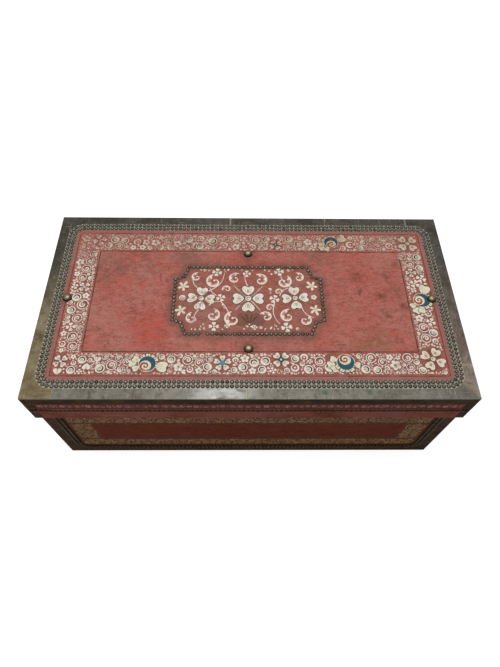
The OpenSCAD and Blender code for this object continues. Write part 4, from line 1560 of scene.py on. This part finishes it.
@dataclass
class LidTopPainting:
    """The lid top: a ruled floral band round a plain field, and the scrolled cartouche."""

    films: dict[Pigment, bpy.types.Material]
    face: Face
    band_outer: float = 51.0
    band_inner: float = 104.0

    def build(self) -> bpy.types.Object:
        """Paint the lid top.

        Returns:
            The painting's object.
        """
        brush = Brush("lid_top_painting", LID, self.face, self.films)
        art = Ornament(brush)
        for inset, width, tone in ((self.band_outer - 1, 1.6, Pigment.UMBER),
                                   (self.band_inner + 1, 1.8, Pigment.OLIVE)):
            w, h = self.face.half_w + 1 - inset, self.face.half_h + 1 - inset
            brush.rule(w, -h, h, width, tone)
        self.band(art)
        self.cartouche(art)
        return brush.build()

    def band(self, art: Ornament) -> None:
        """Paint the floral band.

        Args:
            art: The repertory.
        """
        art.peony(Spot(-209, -161, 18, 52, 1))
        art.peony(Spot(192, -157, 18.5, 282, -1), 0.8, 34)
        art.peony(Spot(376, -3, 18.5, 5, -1))
        art.peony(Spot(191, 162, 17, 90, 1))
        rich = Ornament(art.brush, Pigment.IVORY, Pigment.IVORY, Pigment.ROSE, taken=art.taken)
        for who, spot, petals in (
                (rich, (372, -149, 26, 62), 4), (rich, (372, 160, 25, 40), 4), (art, (-352, 166, 16, 20), 4),
                (art, (61, -151, 18, 45), 4), (art, (-58, -159, 18, 18), 5), (art, (60, 154, 15, 30), 4),
                (art, (-366, 30, 13, 45), 4), (art, (365, 73, 12, 0), 4), (art, (-384, -155, 15, 40), 4)):
            who.blossom(Spot(*spot), petals)
        art.brush.disc((-58, -159), 6.0, Pigment.AZURE, 5)
        for middle, size, tone in (((61, -151), 6.4, Pigment.TEAL), ((60, 154), 5.5, Pigment.OLIVE)):
            art.brush.disc(middle, size, tone, 5)
            art.brush.disc(middle, size * 0.35, Pigment.IVORY, 6, 8)
        for row in ((-386, -177, 8, 270), (-330, -168, 8, 90), (-310, -150, 7, 270)):
            art.love(Spot(*row))
        for row in ((140, -155, 12, 0, 1), (245, -147, 12, 90, -1), (267, -156, 10, 200, 1),
                    (320, -147, 12, 30, 1), (-128, -152, 12, 0, -1), (-105, -158, 10, 180, 1),
                    (-280, -164, 12, 120, 1), (-250, -156, 10, 40, -1), (367, 98, 11, 0, 1),
                    (352, 120, 11, 90, -1), (367, -74, 12, 180, 1), (367, -100, 12, 0, -1),
                    (-370, 81, 12, 0, 1), (-374, 56, 10, 180, -1), (-362, -17, 14, 270, 1),
                    (-370, -97, 12, 30, 1), (-366, -120, 11, 200, -1), (-368, -52, 12, 100, -1)):
            art.volute(Spot(*row))
        w, h = self.face.half_w + 1, self.face.half_h + 1
        outer, inner = self.band_outer + 2, self.band_inner - 2
        areas = [(-w + outer, -h + outer, w - outer, -h + inner),
                 (-w + outer, h - inner, w - outer, h - outer),
                 (-w + outer, -h + inner, -w + inner, h - inner),
                 (w - inner, -h + inner, w - outer, h - inner)]
        art.fill(areas, (11, 9, 7.5, 6.2, 4.6, 3.2, 2.2), 11, 0.98)

    def cartouche(self, art: Ornament) -> None:
        """Paint the cartouche between its nails.

        Args:
            art: The repertory.
        """
        b = art.brush
        for tip, bow in (((-36, 34), 1), ((26, 32), -1), ((-32, -29), -1), ((20, -30), 1)):
            b.tendril((-5, 0), tip, bow, 3.4, Pigment.OLIVE)
            b.tendril((-5, 0), tip, bow, 2.2, Pigment.CREAM, 1)
            b.disc(tip, 2.3, Pigment.ROSE, 2, 8)
        for row, fullness in (((-5, 0, 34, 90), 3.3), ((-108, 0, 30, 85), 3.4), ((98, 2, 29, 95), 3.4)):
            art.blossom(Spot(*row), 4, True, fullness)
        art.eye(Spot(-149, 2, 7.5, 90))
        art.rosette(Spot(139, 4, 7))
        for row in ((-149, 32, 16, 60), (-150, -30, 16, 250), (137, 34, 16, 130), (139, -28, 16, 290)):
            art.sprig(Spot(*row))
        for row in ((-65, 2, 10, 20), (52, -1, 11, 70)):
            art.floret(Spot(*row))
        for level, turn in enumerate((28, 152, 58, 122, 90)):
            b.petal((-3, -72), turn, 38, 19, Pigment.SHADE, level * 0.5)
        for turn in (50, 75, 105, 130):
            b.petal((-3, -66), turn, 26, 3, Pigment.UMBER, 3)
        art.floret(Spot(-3, -66, 9, 45))
        art.take((-3, -52), 17)
        for row in ((-80, 46, 23, 100, 1), (-82, -44, 20, 80, -1), (-34, 54, 19, 60, 1),
                    (22, 50, 21, 120, -1), (-38, -54, 23, 100, 1), (74, 46, 22, 60, -1),
                    (80, -46, 21, 80, 1), (33, -48, 17, 150, -1), (-52, 25, 13, 200, -1),
                    (42, -24, 12, 20, 1), (62, 18, 11, 0, 1), (-124, -52, 18, 100, 1),
                    (116, -56, 17, 60, -1), (-120, 58, 15, 80, 1), (108, 58, 16, 110, -1)):
            art.fern(Spot(*row))
        for start, end, bow in (
                ((-108, 22), (-128, 62), 8), ((-92, 20), (-58, 70), -9), ((98, 26), (66, 72), 8),
                ((110, -20), (136, -50), -6), ((-65, -8), (-50, -66), 9), ((52, -12), (62, -66), -8),
                ((-5, 32), (-12, 68), 3), ((-108, -24), (-120, -66), -6), ((64, 8), (88, 30), 5),
                ((-90, -18), (-66, -8), 4), ((-75, 8), (-90, 30), 3)):
            b.tendril(start, end, bow, 2.0, Pigment.CREAM)
        for row in ((-75, 72, 11, 80), (-8, 68, 9, 90), (65, 74, 11, 100), (-78, -72, 11, 270),
                    (76, -74, 12, 280), (-50, -70, 6, 0), (8, -74, 6, 0)):
            art.floret(Spot(*row))
        art.fill([(-158, -48, 148, 48), (-128, -82, 120, 82)], (4.2, 2.6), 5, 1.3)


@dataclass
class SidePainting:
    """One side of the case or the lid: curls and florets in a border round a plain field."""

    name: str
    body: str
    face: Face
    films: dict[Pigment, bpy.types.Material]
    strips: tuple[Box, ...]
    seed: int
    rule: float | None = None
    sparse: bool = False
    under_rule: float = 88.0
    over_rule: float = 54.0
    wave_length: float = 1.9
    wave_points: int = 14

    def build(self) -> bpy.types.Object:
        """Paint the side.

        Returns:
            The painting's object.
        """
        brush = Brush(self.name, self.body, self.face, self.films)
        art = Ornament(brush, Pigment.ROSE if self.sparse else Pigment.DULL, Pigment.CREAM, Pigment.SHADE,
                       Pigment.UMBER)
        if self.rule is not None:
            low, high = self.under_rule - self.face.half_h, self.face.half_h - self.over_rule
            brush.rule(self.face.half_w - self.rule, low, high, 1.8, Pigment.UMBER)
        if self.sparse:
            art.fill(self.strips, (6.4, 4.8, 3.4, 2.4), self.seed, 1.12)
        else:
            for number, strip in enumerate(self.strips):
                self.vine(art, strip, number)
            art.fill(self.strips, (8, 6.2, 4.6, 3.2), self.seed, 0.98)
        return brush.build()

    def vine(self, art: Ornament, strip: Box, number: int) -> None:
        """Paint a waving stem with a curl in each bend.

        Args:
            art: The repertory.
            strip: The strip that it runs along.
            number: The strip's number, which turns the wave.
        """
        x0, y0, x1, y1 = strip
        level = x1 - x0 > y1 - y0
        long, deep = (x1 - x0, y1 - y0) if level else (y1 - y0, x1 - x0)
        waves = max(1, round(long / (deep * self.wave_length)))
        steps = waves * self.wave_points
        path = []
        for i in range(steps + 1):
            sway = math.sin(2 * math.pi * waves * i / steps + number * math.pi) + 0.35 * math.sin(i * 0.37)
            path.append((long * i / steps, deep * (0.5 + 0.26 * sway)))
        bends = [1 if (k + number) % 2 else -1 for k in range(waves * 2)]
        curls = [(long * (k + 0.5) / (waves * 2), deep * (0.5 + 0.16 * up)) for k, up in enumerate(bends)]
        line, places = ([(x0 + a, y0 + b) if level else (x0 + b, y0 + a) for a, b in row]
                        for row in (path, curls))
        art.brush.stroke(line, [1.5 + 0.7 * math.sin(i * 0.9) for i in range(len(line))], art.main)
        for (x, y), up in zip(places, bends):
            art.volute(Spot(x, y, min(deep * 0.3, long / waves * 0.2), 90 * up, up))


@dataclass
class Studio:
    """A plain white floor, soft light from overhead, and the camera."""

    lens: float = 26.72
    sensor: float = 36.0
    place: Vector = Vector((-0.01907, -0.6283, 1.2222))
    pitch: float = 58.872
    yaw: float = -1.845
    roll: float = -1.700
    overhead: float = 34.0
    fill: float = 7.0
    sky: float = 0.25
    glow: float = 0.8
    reach: float = 30.0

    def build(self) -> None:
        """Build the floor, the lamps, the sky and the camera."""
        self.floor()
        self.lamp("overhead", (0.0, 0.35, 2.6), (0.0, 0.05, 0.3), 2.4, self.overhead)
        self.lamp("window", (-2.2, -1.4, 1.9), (0.0, 0.0, 0.2), 1.4, self.fill)
        self.camera()
        world = bpy.data.worlds.new("sky")
        world.use_nodes = True
        net = Net(world.node_tree)
        shown = net.tree.nodes["Background"]
        net.put(shown.inputs["Color"], WHITE)
        net.put(shown.inputs["Strength"], self.sky)
        seen = net.add("ShaderNodeBackground", {"Color": WHITE, "Strength": 1.0})
        path = net.add("ShaderNodeLightPath")
        mixed = net.add("ShaderNodeMixShader", {0: path.outputs["Is Camera Ray"], 1: shown.outputs[0],
                                                2: seen.outputs[0]})
        net.put(net.tree.nodes["World Output"].inputs["Surface"], mixed.outputs[0])
        bpy.context.scene.world = world
        bpy.context.scene.view_settings.view_transform = "Standard"
        log.info("studio: floor, two lamps, sky and camera")

    def floor(self) -> None:
        """Lay the floor that the trunk stands on."""
        mesh, r = bpy.data.meshes.new("floor"), self.reach
        mesh.from_pydata([(-r, -r, 0), (r, -r, 0), (r, r, 0), (-r, r, 0)], [], [(0, 1, 2, 3)])
        made = bpy.data.objects.new("floor", mesh)
        bpy.context.scene.collection.objects.link(made)
        g = Graph("floor")
        seen = g.sum("MULTIPLY", g.add("ShaderNodeLightPath").outputs["Is Camera Ray"], self.glow)
        mesh.materials.append(g.done(Base_Color=(0.65, 0.65, 0.65), Roughness=0.9, Specular_IOR_Level=0.1,
                                     Emission_Color=WHITE, Emission_Strength=seen))

    def lamp(self, name: str, place: Point3, target: Point3, size: float, power: float) -> None:
        """Hang a square lamp.

        Args:
            name: Its name.
            place: Where it hangs, in metres.
            target: What it faces.
            size: The length of its side.
            power: Its power in watts.
        """
        light = bpy.data.lights.new(name, "AREA")
        light.size, light.energy = size, power
        made = bpy.data.objects.new(name, light)
        made.location = place
        made.rotation_euler = (Vector(target) - Vector(place)).to_track_quat("-Z", "Y").to_euler()
        bpy.context.scene.collection.objects.link(made)

    def camera(self) -> None:
        """Place the camera, which looks down on the trunk from the front."""
        pitch, yaw, roll = (math.radians(a) for a in (self.pitch, self.yaw, self.roll))
        turn = Matrix.Rotation(yaw, 3, "Z")
        ahead = turn @ Vector((0, math.cos(pitch), -math.sin(pitch)))
        right = turn @ Vector((1, 0, 0))
        down = ahead.cross(right)
        level = math.cos(roll) * right + math.sin(roll) * down
        up = math.sin(roll) * right - math.cos(roll) * down
        data = bpy.data.cameras.new("camera")
        data.lens, data.sensor_width = self.lens, self.sensor
        data.clip_start, data.clip_end = 0.01, 100.0
        made = bpy.data.objects.new("camera", data)
        axes = Matrix((level, up, -ahead)).transposed().to_4x4()
        made.matrix_world = Matrix.Translation(self.place) @ axes
        bpy.context.scene.collection.objects.link(made)
        bpy.context.scene.camera = made


@dataclass
class Trunk:
    """The whole trunk: its boards, hide, brass, nails, ornament and fittings."""

    lid_red: PaintedHide = PaintedHide(
        # The fourth colour is the painted shade that darkens the lid hide's sides below its top.
        "lid_hide", srgb(196, 92, 80), srgb(198, 136, 122), srgb(140, 74, 62), srgb(176, 150, 140),
        0.335, -0.0037,
        stains=(Stain(287, 8, 14), Stain(310, 63, 16), Stain(290, -32, 11), Stain(295, -47, 10),
                Stain(310, -107, 13), Stain(335, -19, 14), Stain(240, 60, 26, 0.4), Stain(330, 95, 15, 0.6),
                Stain(-320, 83, 60, 0.7, (118, 92, 80)), Stain(-140, 123, 60, 0.7, (124, 100, 88)),
                Stain(-250, 100, 60, 0.5, (118, 92, 80)), Stain(160, 118, 50, 0.5, (126, 98, 86)),
                Stain(-210, -77, 55, 0.6, (206, 76, 62)), Stain(180, -60, 60, 0.4, (204, 90, 74)),
                Stain(-150, -40, 30, 0.5, (130, 96, 84)), Stain(262, -108, 42, 0.7, (146, 100, 66)),
                Stain(225, -118, 26, 0.6, (150, 106, 72)), Stain(318, 20, 30, 0.6, (128, 84, 60)),
                Stain(60, -98, 45, 0.4, (140, 106, 94))))
    # The case's hide is a darker copy of the lid's red, darkened as painted shade of the case's vertical
    # sides.
    shaded_case_red: PaintedHide = PaintedHide(
        "case_hide", srgb(124, 44, 18), srgb(136, 64, 34), srgb(84, 32, 14), srgb(255, 255, 255), 0.4,
        streak=srgb(150, 74, 44), faded=srgb(112, 76, 48), gloss=0.1)
    lid_paint: Colour = srgb(164, 92, 80)
    # The sides' paint ground is darker than the lid top's, as painted shade of the vertical sides; the lid's
    # sides use it too.
    shaded_case_paint: Colour = srgb(106, 48, 30)
    plan: LidPlan = LidPlan(0.45, 0.238, -0.0037, 0.336)
    green: Point3 = (58, 104, 78)

    def build(self) -> None:
        """Build every part in turn."""
        for step in (self.boards, self.hide, self.brass, self.nails, self.painting):
            step()

    def boards(self) -> None:
        """Dress the boards, with the grain along each of them."""
        wide = Camphorwood("camphorwood_wide", (0.5, 9, 9)).material()
        deep = Camphorwood("camphorwood_deep", (9, 0.5, 9)).material()
        dress(["bottom_board", "front_board", "back_board", "lip_front", "lid_top_board", "lid_front_board",
               "lid_back_board"], wide, 0.8 * MM)
        dress(["left_board", "right_board", "lip_left", "lip_right", "lid_left_board",
               "lid_right_board"], deep, 0.8 * MM)

    def hide(self) -> None:
        """Stretch the hide over the lid and the case, and lay the hems."""
        rub = [(head.foot.x, head.foot.y, reach)
               for node, reach in (("cartouche_nails", 0.021), ("lid_bosses", 0.028))
               for head in CloseNailing(node).heads()]
        HideCover("lid_hide", "lid_leather", LID, self.lid_red.material(), (0,), worn=rub,
                  soiled=((50, 104, 460, 0.42), (150, 240, 156, 0.34))).build()
        HideCover("case_hide", "case_leather", CASE, self.shaded_case_red.material(), (0, 1),
                  border=(26.0, 98.0), crowded=1.75).build()
        faded = PlainHide().material()
        for side in SIDES:
            Hem(f"lid_hem_{side}", side, faded).build()

    def brass(self) -> None:
        """Dress the sheet brass by its tones, and the cast fittings."""
        lid = self.plan
        sheets = {
            # The front strip's near-white patch is a rubbed place, made near-white as a painted highlight.
            SheetBrass(Tone.GREY, lid, rubbed_patch_highlight=Stain(-58, -230, 82, 0.8, (214, 214, 208)),
                       verdigris=(Stain(144, -228, 9, 0.85, self.green),
                                  Stain(232, -228, 8, 0.8, self.green)),
                       seams=(("X", -389), ("X", -8))): ["top_edging_front_left", "top_edging_front_right"],
            SheetBrass(Tone.GOLDEN, lid, rear=Tone.DARK): ["top_edging_front_short", "top_edging_left"],
            SheetBrass(Tone.BROWN, lid, rear=Tone.DARK, seams=(("Y", -166.7),)): [
                "top_edging_right_short", "top_edging_right"],
            SheetBrass(Tone.DARK, lid, seams=(("X", -47), ("X", 377))): [
                "top_edging_back_short", "top_edging_back_left", "top_edging_back_right"],
            # The corners and the base edging take the darkest tone throughout: patina and painted shade.
            SheetBrass(Tone.BLACKENED, lid, nailed=False): [
                *(f"{part}_corner_{y}_{x}" for part in (LID, CASE) for y in SIDES[:2] for x in SIDES[2:]),
                *(f"base_edging_{side}" for side in SIDES)],
        }
        for sheet, nodes in sheets.items():
            dress(nodes, sheet.material(), 0.35 * MM)
        cast = CastBrass().material()
        for part, width in (("handle_plate", 0.6), ("bail", 0.5), ("hinge_leaf_case", 0.3),
                            ("hinge_leaf_lid", 0.3), ("hinge_pin", 0.3)):
            dress([f"{part}_{x}" for x in SIDES[2:]], cast, width * MM)

    def nails(self) -> None:
        """Drive the nails and the bosses."""
        brass = NailBrass().material()
        # A darker, browner copy of the nail brass for the nails on the sides and fittings, darkened as
        # painted shade of the vertical faces.
        shaded_warm = NailBrass("side_nail_brass", srgb(40, 32, 22), srgb(98, 82, 54), srgb(160, 138, 96)).material()
        great = NailBrass("boss_brass", srgb(58, 50, 38), srgb(134, 120, 92), srgb(196, 182, 146)).material()
        for seed, (node, body, finish) in enumerate((
                ("lid_top_nails", LID, brass), ("cartouche_nails", LID, brass), ("lid_side_nails", LID, shaded_warm),
                ("case_nails_front", CASE, shaded_warm), ("case_nails_back", CASE, shaded_warm),
                ("case_nails_ends", CASE, shaded_warm), ("hinge_nails_lid", LID, shaded_warm),
                ("hinge_nails_case", CASE, shaded_warm), ("handle_nails", CASE, shaded_warm)), 7):
            CloseNailing(node, body, finish, seed=seed).build()
        Bosses(great).build()

    def painting(self) -> None:
        """Paint the lid top, the lid's sides and the case's sides."""
        lid, case = Block.of("lid_leather"), Block.of("case_leather")
        films = {p: PaintFilm(p, self.lid_paint, "lid_paint", True).material() for p in Pigment}
        LidTopPainting(films, lid.side("top")).build()
        # Painted shade: the films on the sides wear through to the darker ground.
        films = {p: PaintFilm(p, self.shaded_case_paint, "shaded_case_paint").material() for p in Pigment}
        for number, side in enumerate(SIDES):
            face = lid.side(side)
            top, w = face.half_h - 28, face.half_w - 22
            SidePainting(f"lid_{side}_painting", LID, face, films, ((-w, top - 17, w, top - 3),), 40 + number,
                         sparse=True).build()
            face = case.side(side)
            w, h = face.half_w - 44, face.half_h
            strips = ((-w, h - 52, w, h - 4), (-w, -h + 46, w, -h + 84),
                      (-w, -h + 88, -w + 50, h - 56), (w - 50, -h + 88, w, h - 56))
            SidePainting(f"case_{side}_painting", CASE, face, films, strips, 60 + number, 98).build()


def main() -> None:
    """Build the trunk and the studio."""
    logging.basicConfig(level=logging.INFO, format="%(name)s: %(message)s")
    Trunk().build()
    Studio().build()
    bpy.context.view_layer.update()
    log.info("size written")


if __name__ == "__main__":
    main()
